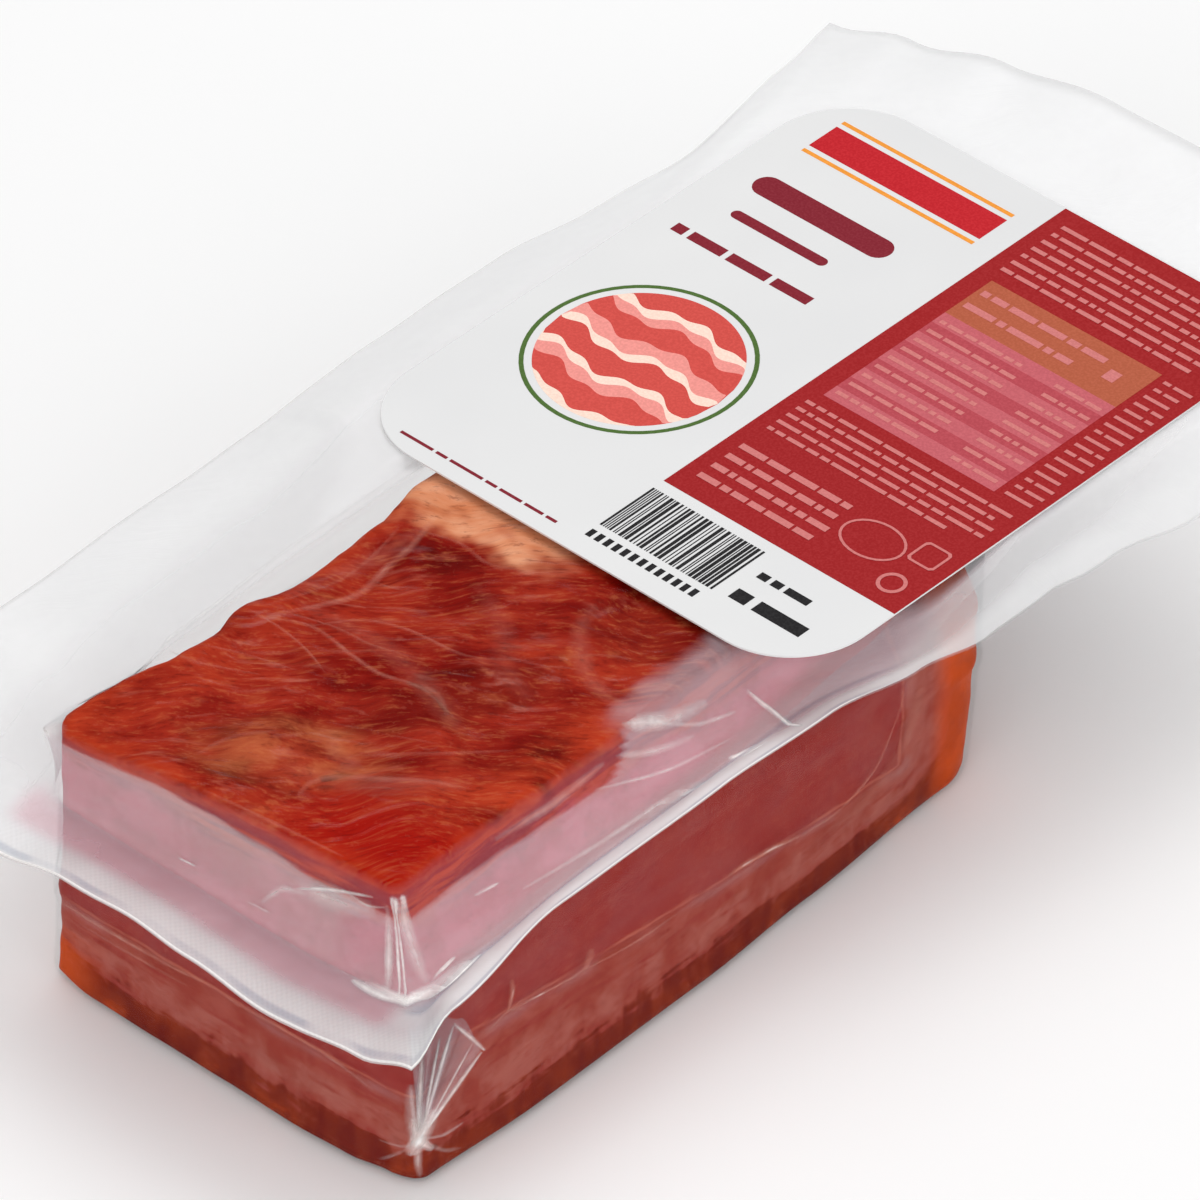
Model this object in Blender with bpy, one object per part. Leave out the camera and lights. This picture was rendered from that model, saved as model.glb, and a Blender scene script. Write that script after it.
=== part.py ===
# Bacon pack: a block of smoked bacon sealed between a formed lower film and a flat upper film,
# with a self-adhesive label that reaches from the block's top out over the long empty rear of the film.
import bpy
import bmesh
from math import cos, exp, hypot, pi, radians, sin
from mathutils import Vector

MM = 0.001

# Lengths below are in millimetres: x to the right from the middle of the block's foot,
# y to the rear from a line 49 behind the block's front, z up.

# Bacon block
BLOCK_WIDTH = 57.0
BLOCK_FRONT = -49.0
BLOCK_REAR = 56.0
LEAN_LEFT = 2.0             # how far each side leans in from foot to top
LEAN_RIGHT = 6.0
LEAN_FRONT_LEFT = 0.0       # the front leans in more towards the right
LEAN_FRONT_RIGHT = 3.8
FOOT_FRONT_CORNER = 1.2     # corner radii of the foot's outline
FOOT_REAR_CORNER = 9.0
FRONT_CORNER = 4.0          # corner radii of the pocket's and the seal's outlines
REAR_CORNER = 9.0
REAR_START = 41.0           # where the outline begins to turn towards the rear
FOOT_ROUND = 2.0            # round of the bottom edge
TOP_ROUND = 1.2             # round of the block's top edge
TOP_RELIEF = 0.35           # height of the uneven cut of the meat
WALL_SWELL = 0.5            # how far the meat swells the pocket's walls half-way up
CORNER_REACH = 2.4          # how far the top's front left corner sticks out
CORNER_DROOP = 1.8          # and how far it hangs down

# How far the foot spreads beyond the straight walls, as (place along the side, distance)
FRONT_SPREAD = [(-29.0, 0.5), (-21.5, 2.1), (-11, 2.4), (0, 2.65), (12, 3.0), (20, 2.7), (24.5, 1.7),
                (29, 0.0)]
SIDE_SPREAD = [(-49, 1.5), (-30, 2.4), (0, 2.2), (20, 1.3), (45, 0.0)]

# Film
FILM_THICKNESS = 0.7        # both films where they are sealed together, with their waves
SEAL_OUT = 1.5              # distance from the block's foot to the inner line of the seal
SHEET_LEFT = -53.5
SHEET_RIGHT = 44.5
SHEET_FRONT = -58.0
SHEET_REAR = 119.0
SEAL_SWEEP = 5.5            # the seal's inner line swings out below the label's overhang
CREASE_SWEEP = 11.0         # so does the crease where the film leaves the top
SWEEP_START = 13.0
SWEEP_END = 35.0

# Label
LABEL_WIDTH = 74.6
LABEL_LENGTH = 89.0
LABEL_CORNER = 11.5
LABEL_THICKNESS = 0.25
LABEL_GAP = 0.3
LABEL_CENTRE = (-2.5, 58.1)
LABEL_TURN = -1.8           # degrees about the vertical
LABEL_RISE = 1.46           # degrees up towards the rear
LABEL_SURFACE = 40.35       # height of the film under the label's front edge

# Heights of the film, as (place along the side, height)
FRONT_EDGE = [(-53.5, 24.5), (-30, 24.2), (-18, 26.0), (-9, 26.4), (1, 25.2), (14, 23.9),
              (28, 25.2), (36.5, 28.4)]
RIGHT_EDGE = [(-58, 28.4), (-49, 30.3), (-28, 32.3), (17, 33.3), (40, 33.4), (52, 36.0),
              (61, 36.6), (74, 35.2),
              (92, 35.6), (119, 38.0)]
REAR_EDGE = [(-53.5, 37.6), (-40, 41.2), (-24, 45.2), (-8, 47.4), (8, 47.2), (28, 43.4), (44.5, 38.0)]
LEFT_EDGE = [(-58, 24.5), (-34, 32.6), (1, 33.4), (36, 35.2), (55, 35.4), (74, 33.2), (92, 31.4),
             (111, 35.6),
             (119, 37.6)]
FRONT_SEAL = [(-30, 28.2), (-10, 27.6), (10, 27.2), (30, 28.4)]
RIGHT_SEAL = [(-50, 28.4), (-38, 30.6), (-20, 31.8), (10, 32.4), (28, 34.4), (44, 38.2), (52, 40.0)]
LEFT_SEAL = [(-50, 28.2), (-40, 33.0), (-26, 37.4), (-5, 39.0), (50, 39.8)]

# The sheet's right edge is pulled in beside the block, as (y, x)
RIGHT_SIDE = [(-58, 36.5), (-49, 34.6), (-28, 32.7), (0, 33.0), (18, 33.9), (31, 36.4), (41, 38.4),
              (50, 40.2),
              (58, 42.0), (74, 43.9), (119, 44.5)]

# Number of points along each stretch of an outline
FRONT_POINTS = 18
FRONT_CORNER_POINTS = 5
SIDE_POINTS = 26
REAR_CORNER_POINTS = 12
REAR_POINTS = 14
SHEET_CORNER_SHARE = 0.7    # part of a rear corner's points that lie along the sheet's long side

# Steps of the loft
TOP_STEPS = (0.3, 0.6, 0.85)
TENT_STEPS = (0.35, 0.7)
WEB_STEPS = (0.1, 0.25, 0.42, 0.6, 0.72, 0.8, 0.9, 1.0)
COVER_SPREAD = 3            # outline points over which the label's stiffness fades
RIM_EASE = 1.5              # how late the film bends away from the label towards its cut edge
WALL_STEPS = (0.88, 0.74, 0.6, 0.46, 0.32, 0.2)

FILM_COLOUR = (0.80, 0.62, 0.62, 1.0)
LABEL_COLOUR = (0.86, 0.86, 0.85, 1.0)


def smooth(value, low, high):
    """Turn from 0 at low to 1 at high along an S curve."""
    share = min(1.0, max(0.0, (value - low) / (high - low)))
    return share * share * (3.0 - 2.0 * share)


def along(curve, place):
    """Height of a curve of (place, height) points at a place, with eased steps."""
    if place <= curve[0][0]:
        return curve[0][1]
    for (low, first), (high, last) in zip(curve, curve[1:]):
        if place <= high:
            return first + (last - first) * smooth(place, low, high)
    return curve[-1][1]


def between(first, last, share):
    return tuple(a + (b - a) * share for a, b in zip(first, last))


def stretch(first, last, count):
    """Points of a straight stretch, without its last one."""
    return [between(first, last, step / count) for step in range(count)]


def arc(first, last, centre, count):
    """Points of a quarter round about a centre, without its last one."""
    points = []
    for step in range(count):
        turn = step / count * pi / 2
        points.append(tuple(c + (a - c) * cos(turn) + (b - c) * sin(turn)
                            for a, b, c in zip(first, last, centre)))
    return points


def rounded_outline(left, right, front, rear, front_radius, rear_radius):
    """Anticlockwise outline of the block or the pocket, from its front left."""
    near, far = front + front_radius, rear - rear_radius
    points = stretch((left + front_radius, front), (right - front_radius, front), FRONT_POINTS)
    points += arc((right - front_radius, front), (right, near), (right - front_radius, near),
                  FRONT_CORNER_POINTS)
    points += stretch((right, near), (right, far), SIDE_POINTS)
    points += arc((right, far), (right - rear_radius, rear), (right - rear_radius, far),
                  REAR_CORNER_POINTS)
    points += stretch((right - rear_radius, rear), (left + rear_radius, rear), REAR_POINTS)
    points += arc((left + rear_radius, rear), (left, far), (left + rear_radius, far), REAR_CORNER_POINTS)
    points += stretch((left, far), (left, near), SIDE_POINTS)
    points += arc((left, near), (left + front_radius, front), (left + front_radius, near),
                  FRONT_CORNER_POINTS)
    return points


def sheet_outline():
    """Cut edge of the two films, with the same points as the pocket's outline."""
    front_right = along(RIGHT_SIDE, SHEET_FRONT)
    side_points = round(REAR_CORNER_POINTS * SHEET_CORNER_SHARE)
    rear_points = REAR_CORNER_POINTS - side_points
    beside_rear = BLOCK_REAR - 3.5
    near = SHEET_FRONT + 9.0
    rear_start = SHEET_RIGHT - 22.0
    rear_end = SHEET_LEFT + 22.0
    points = stretch((SHEET_LEFT + 18.0, SHEET_FRONT), (front_right - 5.0, SHEET_FRONT), FRONT_POINTS)
    points += stretch((front_right - 5.0, SHEET_FRONT), (front_right, SHEET_FRONT), 3)
    points += stretch((SHEET_RIGHT, SHEET_FRONT), (SHEET_RIGHT, near), FRONT_CORNER_POINTS - 3)
    points += stretch((SHEET_RIGHT, near), (SHEET_RIGHT, beside_rear), SIDE_POINTS)
    points += stretch((SHEET_RIGHT, beside_rear), (SHEET_RIGHT, SHEET_REAR), side_points)
    points += stretch((SHEET_RIGHT, SHEET_REAR), (rear_start, SHEET_REAR), rear_points)
    points += stretch((rear_start, SHEET_REAR), (rear_end, SHEET_REAR), REAR_POINTS)
    points += stretch((rear_end, SHEET_REAR), (SHEET_LEFT, SHEET_REAR), rear_points)
    points += stretch((SHEET_LEFT, SHEET_REAR), (SHEET_LEFT, beside_rear), side_points)
    points += stretch((SHEET_LEFT, beside_rear), (SHEET_LEFT, near + 9.0), SIDE_POINTS)
    points += stretch((SHEET_LEFT, near + 9.0), (SHEET_LEFT, SHEET_FRONT), 3)
    points += stretch((SHEET_LEFT, SHEET_FRONT), (SHEET_LEFT + 18.0, SHEET_FRONT),
                      FRONT_CORNER_POINTS - 3)
    return [(along(RIGHT_SIDE, y) if x == SHEET_RIGHT else x, y) for x, y in points]


def swept(points, distance):
    """Swing the right side of an outline out below the label's overhang."""
    return [(x + distance * smooth(y, SWEEP_START, SWEEP_END) * smooth(x, 0.0, BLOCK_WIDTH / 3), y)
            for x, y in points]


def wall_outline(inset=0.0):
    """Straight outline that the pocket's walls aim at."""
    half_width = BLOCK_WIDTH / 2 - inset
    return rounded_outline(-half_width, half_width, BLOCK_FRONT + inset, BLOCK_REAR - inset,
                           FOOT_FRONT_CORNER - inset * 0.2, FOOT_REAR_CORNER - inset * 0.5)


def spread_out(x, y, amount=1.0):
    """Move a point of an outline out to where the foot spreads."""
    side = along(SIDE_SPREAD, y) * smooth(abs(x), 20.0, 27.0) * amount
    front = along(FRONT_SPREAD, x) * (1.0 - smooth(y, BLOCK_FRONT, BLOCK_FRONT + 8.0)) * amount
    return x + (side if x > 0 else -side), y - front


def foot_outline(inset=0.0):
    return [spread_out(x, y) for x, y in wall_outline(inset)]


def corner_share(x, y):
    """How near a point is to the top's front left corner, from 0 to 1."""
    return (1.0 - smooth(x, -26.0, -12.0)) * (1.0 - smooth(y, BLOCK_FRONT, -34.0))


def crease_outline(outset=0.0):
    """Edge of the block's top, where the upper film turns down."""
    left = -BLOCK_WIDTH / 2 + LEAN_LEFT - outset
    right = BLOCK_WIDTH / 2 - LEAN_RIGHT + outset
    front = BLOCK_FRONT - outset
    points = rounded_outline(left, right, front, BLOCK_REAR + outset, 1.5, REAR_CORNER + 2.0)
    skewed = []
    for x, y in points:
        lean = LEAN_FRONT_LEFT + (LEAN_FRONT_RIGHT - LEAN_FRONT_LEFT) * (x - left) / (right - left)
        reach = CORNER_REACH * corner_share(x, y)
        skewed.append((x - reach, y + lean * (1.0 - smooth(y, front, 0.0))))
    return swept(skewed, CREASE_SWEEP)


def seal_outline():
    """Inner line of the seal, where the two films meet."""
    points = rounded_outline(-BLOCK_WIDTH / 2 - SEAL_OUT, BLOCK_WIDTH / 2 + SEAL_OUT,
                             BLOCK_FRONT - 0.7, BLOCK_REAR + 1.5, FRONT_CORNER, REAR_CORNER)
    return swept(points, SEAL_SWEEP)


def pocket_outline():
    """Upper end of the formed pocket, just below the seal."""
    return rounded_outline(-BLOCK_WIDTH / 2 - 1.0, BLOCK_WIDTH / 2 + 1.0, BLOCK_FRONT - 0.5,
                           BLOCK_REAR + 1.0, FRONT_CORNER, REAR_CORNER)


def label_place(x, y):
    """Position of a point in the label's own width and length, from its centre."""
    turn = radians(LABEL_TURN)
    away_x, away_y = x - LABEL_CENTRE[0], y - LABEL_CENTRE[1]
    return away_x * cos(turn) + away_y * sin(turn), away_y * cos(turn) - away_x * sin(turn)


def on_label(x, y, margin=0.5):
    across, length = label_place(x, y)
    return abs(across) < LABEL_WIDTH / 2 + margin and abs(length) < LABEL_LENGTH / 2 + margin


def plate_height(x, y):
    """Film height on the block's top and under the label."""
    length = label_place(x, y)[1]
    rise = sin(radians(LABEL_RISE)) * max(-LABEL_LENGTH / 2, length)
    return LABEL_SURFACE + LABEL_LENGTH / 2 * sin(radians(LABEL_RISE)) + rise


def meat_relief(x, y):
    """Uneven top of the meat, fading out towards the label."""
    wave = sin(0.13 * x + 0.07 * y) * cos(0.11 * y - 0.05 * x) + 0.5 * sin(0.16 * x - 0.12 * y + 1.0)
    return TOP_RELIEF * (wave - 1.0) * (1.0 - smooth(y, -6.0, 10.0))


def top_height(x, y):
    return plate_height(x, y) + meat_relief(x, y) - CORNER_DROOP * corner_share(x, y)


def edge_height(x, y):
    if y <= SHEET_FRONT:
        return along(FRONT_EDGE, x)
    if y >= SHEET_REAR:
        return along(REAR_EDGE, x)
    return along(RIGHT_EDGE if x > 0 else LEFT_EDGE, y)


def seal_height(x, y):
    """Height of the seal's inner line, low at the front and the right, high at the rear."""
    front = along(FRONT_SEAL, x)
    side = along(RIGHT_SEAL if x > 0 else LEFT_SEAL, y)
    height = front + (side - front) * smooth(y, BLOCK_FRONT - 0.7, BLOCK_FRONT + 4.0)
    reach = smooth(y, REAR_START, BLOCK_REAR - 2.0)
    return height + (plate_height(x, y) - height) * reach


def label_cover(seal, edge):
    """Share of the way from the seal's inner line to the sheet's edge held up by the label."""
    shares = []
    for start, end in zip(seal, edge):
        covered = [step / 50 for step in range(50) if on_label(*between(start, end, step / 50))]
        beside_block = start[0] > 0 and start[1] < REAR_START
        shares.append(max(covered) if covered and not beside_block else 0.0)
    count = len(shares)
    reach = [max(shares[(i + k) % count] for k in (-1, 0, 1)) for i in range(count)]
    spread = range(-COVER_SPREAD, COVER_SPREAD + 1)
    eased = [sum(reach[(i + k) % count] for k in spread) / len(spread) for i in range(count)]
    return [max(share, ease) for share, ease in zip(shares, eased)]


def film_rings():
    """Rings of the upper film from the seal's inner line to the sheet's edge."""
    seal, edge = seal_outline(), sheet_outline()
    cover = label_cover(seal, edge)
    rings = [[(x, y, seal_height(x, y)) for x, y in seal]]
    for step in WEB_STEPS:
        ring = []
        for start, end, share in zip(rings[0], edge, cover):
            x, y = between(start[:2], end, step)
            stiff = smooth(share, 0.0, 0.4)
            fall = max(0.0, (step - share) / (1.0 - share)) ** (1.0 + (RIM_EASE - 1.0) * stiff)
            held = start[2] + (plate_height(x, y) - start[2]) * stiff
            ring.append((x, y, held + (edge_height(*end) - held) * fall))
        rings.append(ring)
    return rings


def ledge_height(y):
    """Height of the formed ledge along the pocket's wall."""
    side = 15.0 - 0.1 * y + 8.0 * smooth(y, 26.0, 40.0)
    return 13.8 + (side - 13.8) * smooth(y, BLOCK_FRONT + 0.2, BLOCK_FRONT + 4.0)


def wall_swell(share, height, y):
    """How far the pocket's wall stands out at a share of its height."""
    ledge = exp(-((height - ledge_height(y)) / 2.2) ** 2)
    return WALL_SWELL * sin(pi * share) + 0.35 * ledge


def wall_rings(top):
    """Rings of the pocket's wall from its upper end down to the foot."""
    foot = wall_outline()
    rings = []
    for share in WALL_STEPS:
        ring = []
        for start, end in zip(foot, top):
            x, y = spread_out(*between(start, end[:2], share), (1.0 - share) ** 3)
            height = end[2] * share
            swell = wall_swell(share, height, y) / hypot(x, y / 1.7)
            ring.append((x * (1.0 + swell), y * (1.0 + swell * 0.6), height))
        rings.append(ring)
    return rings


def pouch_rings():
    """All rings of the sealed pack from the middle of its top round to the middle of its foot."""
    crease = crease_outline()
    rings = []
    for step in TOP_STEPS:
        inner = [(x * step, y * step) for x, y in crease]
        rings.append([(x, y, top_height(x, y)) for x, y in inner])
    rings.append([(x, y, top_height(x, y)) for x, y in crease])
    web = film_rings()
    shoulder = []
    for (x, y), low in zip(crease_outline(TOP_ROUND * 0.7), web[0]):
        drop = TOP_ROUND * min(1.0, max(0.0, (top_height(x, y) - low[2]) / 6.0))
        shoulder.append((x, y, top_height(x, y) - drop))
    rings.append(shoulder)
    for step in TENT_STEPS:
        rings.append([between(high, low, step) for high, low in zip(shoulder, web[0])])
    rings += web
    under = [[(x, y, z - FILM_THICKNESS) for x, y, z in ring] for ring in reversed(web[1:])]
    rings += under
    seal_under = [z - FILM_THICKNESS for x, y, z in web[0]]
    pocket = [(x, y, z - 0.3) for (x, y), z in zip(pocket_outline(), seal_under)]
    rings.append(pocket)
    rings += wall_rings(pocket)
    rings.append([(x, y, FOOT_ROUND) for x, y in foot_outline()])
    rings.append([(x, y, FOOT_ROUND * 0.3) for x, y in foot_outline(FOOT_ROUND * 0.3)])
    rings.append([(x, y, 0.0) for x, y in foot_outline(FOOT_ROUND)])
    rings.append([(x * 0.5, y * 0.6, 0.0) for x, y in foot_outline(FOOT_ROUND)])
    return rings


def principled(name, colour, roughness, metallic=0.0):
    material = bpy.data.materials.new(name)
    material.use_nodes = True
    shader = material.node_tree.nodes["Principled BSDF"]
    shader.inputs["Base Color"].default_value = colour
    shader.inputs["Roughness"].default_value = roughness
    shader.inputs["Metallic"].default_value = metallic
    return material


def loft(name, rings, collection):
    """Closed skin through rings of equal count, with a fan at each end."""
    bm = bmesh.new()
    rows = [[bm.verts.new([c * MM for c in point]) for point in ring] for ring in rings]
    count = len(rows[0])
    for upper, lower in zip(rows, rows[1:]):
        for i in range(count):
            k = (i + 1) % count
            bm.faces.new((upper[i], lower[i], lower[k], upper[k]))
    for row, turn in ((rows[0], 1), (rows[-1], -1)):
        middle = bm.verts.new(sum((vert.co for vert in row), Vector()) / count)
        for i in range(count):
            corners = (row[i], row[(i + 1) % count], middle)
            bm.faces.new(corners[::turn])
    mesh = bpy.data.meshes.new(name)
    bm.to_mesh(mesh)
    bm.free()
    mesh.shade_smooth()
    mesh.set_sharp_from_angle(angle=radians(35))
    obj = bpy.data.objects.new(name, mesh)
    collection.objects.link(obj)
    return obj


def make_pouch(collection):
    pouch = loft("sealed_pouch", pouch_rings(), collection)
    pouch.data.materials.append(principled("clear_film", FILM_COLOUR, 0.25))
    return pouch


def make_label(collection):
    """Flat label with round corners, lying just above the film."""
    curve = bpy.data.curves.new("label", "CURVE")
    curve.dimensions = "2D"
    curve.fill_mode = "BOTH"
    curve.extrude = LABEL_THICKNESS / 2 * MM
    outline = []
    half_width, half_length = LABEL_WIDTH / 2 - LABEL_CORNER, LABEL_LENGTH / 2 - LABEL_CORNER
    for corner, (side, end) in enumerate(((1, -1), (1, 1), (-1, 1), (-1, -1))):
        for step in range(9):
            turn = (corner - 1) * pi / 2 + step / 8 * pi / 2
            outline.append((side * half_width + LABEL_CORNER * cos(turn),
                            end * half_length + LABEL_CORNER * sin(turn)))
    spline = curve.splines.new("POLY")
    spline.points.add(len(outline) - 1)
    spline.use_cyclic_u = True
    for point, (x, y) in zip(spline.points, outline):
        point.co = (x * MM, y * MM, 0.0, 1.0)
    label = bpy.data.objects.new("label", curve)
    height = plate_height(*LABEL_CENTRE) + LABEL_GAP + LABEL_THICKNESS / 2
    label.location = (LABEL_CENTRE[0] * MM, LABEL_CENTRE[1] * MM, height * MM)
    label.rotation_euler = (radians(LABEL_RISE), 0.0, radians(LABEL_TURN))
    collection.objects.link(label)
    curve.materials.append(principled("paper_label", LABEL_COLOUR, 0.35))
    return label


def centre_on_footprint(objects):
    """Hang all pieces from an empty that puts the origin below the middle of the whole pack."""
    bpy.context.view_layer.update()
    corners = [obj.matrix_world @ Vector(corner) for obj in objects for corner in obj.bound_box]
    low = [min(corner[axis] for corner in corners) for axis in (0, 1)]
    high = [max(corner[axis] for corner in corners) for axis in (0, 1)]
    pack = bpy.data.objects.new("bacon_pack_origin", None)
    pack.location = (-(low[0] + high[0]) / 2, -(low[1] + high[1]) / 2, 0.0)
    objects[0].users_collection[0].objects.link(pack)
    for obj in objects:
        obj.parent = pack


def main():
    for obj in list(bpy.data.objects):
        bpy.data.objects.remove(obj, do_unlink=True)
    collection = bpy.data.collections.new("bacon_pack")
    bpy.context.scene.collection.children.link(collection)
    centre_on_footprint([make_pouch(collection), make_label(collection)])


main()
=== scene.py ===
from math import cos, exp, hypot, pi, radians, sin, sqrt
from random import Random

import bpy
from bpy.props import FloatProperty, FloatVectorProperty, PointerProperty
from mathutils import Matrix, Vector, noise
from mathutils.bvhtree import BVHTree


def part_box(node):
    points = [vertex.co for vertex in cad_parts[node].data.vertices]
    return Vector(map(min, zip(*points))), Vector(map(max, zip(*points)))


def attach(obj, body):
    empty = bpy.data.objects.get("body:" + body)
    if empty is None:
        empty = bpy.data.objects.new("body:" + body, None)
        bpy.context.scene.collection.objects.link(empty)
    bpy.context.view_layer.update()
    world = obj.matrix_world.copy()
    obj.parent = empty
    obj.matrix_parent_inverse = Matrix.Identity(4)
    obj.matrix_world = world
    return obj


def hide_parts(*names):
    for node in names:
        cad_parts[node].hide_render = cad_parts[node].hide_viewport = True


bl_info = {
    "name": "Bacon Pack",
    "version": (1, 0, 0),
    "blender": (4, 5, 0),
    "location": "View3D > Sidebar > Bacon Pack",
    "description": "Builds a clear sealed pack of smoked block bacon with its label",
    "category": "Object",
}

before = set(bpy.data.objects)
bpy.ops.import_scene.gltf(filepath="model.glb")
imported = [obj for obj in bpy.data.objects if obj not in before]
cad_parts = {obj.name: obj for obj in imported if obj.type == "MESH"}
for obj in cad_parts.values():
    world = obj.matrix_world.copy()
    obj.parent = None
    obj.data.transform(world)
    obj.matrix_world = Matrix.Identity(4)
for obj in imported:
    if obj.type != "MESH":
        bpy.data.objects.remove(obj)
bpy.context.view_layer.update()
POUCH_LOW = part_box("sealed_pouch")[0]

MM = 0.001

# Lengths are in millimetres: x to the right from the middle of the block's foot,
# y to the rear from a line 49 behind the block's front, z up.

# Bacon block
BLOCK_WIDTH = 57.0
BLOCK_FRONT = -49.0
BLOCK_REAR = 56.0
LEAN_LEFT = 2.0
LEAN_RIGHT = 6.0
LEAN_FRONT = 3.8            # how far the front leans in at its right end
FOOT_FRONT_CORNER = 1.2     # corner radii of the foot's outline
FOOT_REAR_CORNER = 9.0
FRONT_CORNER = 4.0          # corner radii of the pocket's and the seal's outlines
REAR_CORNER = 9.0
REAR_START = 41.0           # where the outline begins to turn towards the rear
FOOT_ROUND = 2.0
TOP_RELIEF = 0.35
WALL_SWELL = 0.5
WALL_BEND = 25.0            # height up to which the meat fills the pocket
WALL_HEIGHT = 27.0
LEDGE_HEIGHT = 13.8         # of the formed ledge in front
LEDGE_STAND = 0.4
LEDGE_ROUND = 1.1
SEAL_LEVEL = 28.0           # about how high the seal lies in front
SIDE_AWAY = 28.0            # rough ways from the block's middle to its sides and ends
END_AWAY = 48.0
MEAT_INSET = 0.4            # room between the meat and the film
CORNER_REACH = 2.4          # how far the top's front left corner sticks out
CORNER_DROOP = 1.8          # and how far it hangs down

# How far the foot spreads beyond the straight walls, as (place along the side, distance)
FRONT_SPREAD = [(-29, 0.5), (-21.5, 2.1), (-11, 2.4), (0, 2.65), (12, 3.0), (20, 2.7), (24.5, 1.7), (29, 0.0)]
SIDE_SPREAD = [(-49, 1.5), (-30, 2.4), (0, 2.2), (20, 1.3), (45, 0.0)]

# Way of the muscle fibres and of the film's fine wrinkles
FIBRE_LENGTHWAYS = 0.83
FIBRE_ACROSS = 0.56

# Film
SHELL_LAYERS = 2.0          # skins of a film's shell, which share its haze
WEB_GAP = 0.35              # from the upper film down to the lower one where they are sealed
KNURL_TURNS = 2 * pi / 0.8
SEAL_OUT = 1.5
SHEET_LEFT = -53.5
SHEET_RIGHT = 44.5
SHEET_FRONT = -58.0
SHEET_REAR = 119.0
SEAL_SWEEP = 5.5
CREASE_SWEEP = 11.0
SWEEP_START = 13.0
SWEEP_END = 35.0
SHOULDER = 0.8              # round of the film over the block's top edge
RIM_EASE = 1.5
COVER_SPREAD = 3

# Label
LABEL_WIDTH = 74.6
LABEL_LENGTH = 89.0
LABEL_CORNER = 11.5
LABEL_GAP = 0.3
LABEL_CENTRE = (-2.5, 58.1)
LABEL_TURN = -1.8
LABEL_RISE = 1.46
LABEL_SURFACE = 40.35

# Heights of the film, as (place along the side, height)
FRONT_EDGE = [(-53.5, 24.5), (-30, 24.2), (-18, 26.0), (-9, 26.4), (1, 25.2), (14, 23.9), (28, 25.2),
              (36.5, 28.4)]
RIGHT_EDGE = [(-58, 28.4), (-49, 30.3), (-28, 32.3), (17, 33.3), (40, 33.4), (52, 36.0), (61, 36.6),
              (74, 35.2), (92, 35.6), (119, 38.0)]
REAR_EDGE = [(-53.5, 37.6), (-40, 41.2), (-24, 45.2), (-8, 47.4), (8, 47.2), (28, 43.4), (44.5, 38.0)]
LEFT_EDGE = [(-58, 24.5), (-34, 32.6), (1, 33.4), (36, 35.2), (55, 35.4), (74, 33.2), (92, 31.4), (111, 35.6),
             (119, 37.6)]
FRONT_SEAL = [(-30, 28.2), (-10, 27.6), (10, 27.2), (30, 28.4)]
RIGHT_SEAL = [(-50, 28.4), (-38, 30.6), (-20, 31.8), (10, 32.4), (28, 34.4), (44, 38.2), (52, 40.0)]
LEFT_SEAL = [(-50, 28.2), (-40, 33.0), (-26, 37.4), (-5, 39.0), (50, 39.8)]

# Places along a side, as (y, x)
RIGHT_SIDE = [(-58, 36.5), (-49, 34.6), (-28, 32.7), (0, 33.0), (18, 33.9), (31, 36.4), (41, 38.4),
              (50, 40.2), (58, 42.0), (74, 43.9), (119, 44.5)]
MEAT_LEFT_EDGE = [(-49, -26.3), (-45, -27.3), (-38, -27.6), (-30, -26.2), (-25, -25.6), (-19.5, -27.0),
                  (-11, -24.7), (4, -25.4), (13, -27.0), (40, -26.4)]

# Points along each stretch of an outline
DENSITY = 3
FRONT_POINTS = 18 * DENSITY
FRONT_CORNER_POINTS = 5 * DENSITY
SIDE_POINTS = 26 * DENSITY
REAR_CORNER_POINTS = 12 * DENSITY
REAR_POINTS = 14 * DENSITY
SHEET_CORNER_SHARE = 0.7

TOP_RINGS = 40
TENT_RINGS = 24
WEB_RINGS = 30
WALL_RINGS = 34

# Folds of the films, which raise the film and mark its gleam, a painted highlight, as (start, end, width,
# height)
CREASE_PROFILE = ((-1.0, 0.0), (-0.5, 0.55), (0.0, 1.0), (0.5, 0.55), (1.0, 0.0))
CORNER_STAR = (28.3, -49.6, 28.1)
TENT_FOLDS = [
    ((22.9, -46.2, 38.2), (27.0, -49.3, 29.3), 0.55, 1.0),
    ((23.2, -45.9, 38.0), (28.3, -49.2, 28.6), 0.5, 1.0),
    ((23.6, -45.0, 38.2), (29.5, -46.8, 31.0), 0.5, 0.5),
    (CORNER_STAR, (19.8, -49.9, 27.6), 0.8, 0.8),
    (CORNER_STAR, (30.2, -40.0, 30.6), 0.8, 0.8),
    ((10.0, -49.0, 35.8), (22.2, -46.4, 38.6), 0.45, 0.5),
    ((27.6, 11.8, 37.0), (31.5, 13.6, 34.0), 0.5, 0.9),
    ((30.2, 5.0, 32.4), (30.8, 9.0, 32.4), 0.35, 0.6),
    ((24.0, -8.0, 39.2), (27.0, 4.0, 36.8), 0.6, 0.5),
    ((23.0, -2.0, 39.8), (25.5, 9.5, 38.4), 0.5, 0.6),
    ((-27.5, -49.5, 38.5), (-43.0, -53.0, 29.5), 1.4, 0.7),
]
POCKET_FOLDS = [
    ((28.9, -48.6, 9.0), (30.2, -48.8, 24.5), 0.4, 0.4),
    ((29.0, -48.2, 9.0), (30.6, -46.0, 24.0), 0.4, 0.5),
    ((28.8, -49.2, 9.0), (28.0, -49.8, 22.0), 0.35, 0.3),
    ((28.7, -48.6, 9.5), (27.6, -47.6, 2.0), 0.5, 0.5),
    ((28.6, -48.9, 8.5), (22.0, -49.4, 6.5), 0.4, 0.3),
    ((29.0, -34.4, 18.6), (29.3, -31.0, 22.6), 0.4, 0.3),
    ((29.0, -21.5, 16.6), (29.2, -19.5, 18.2), 0.5, 0.3),
]
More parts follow.
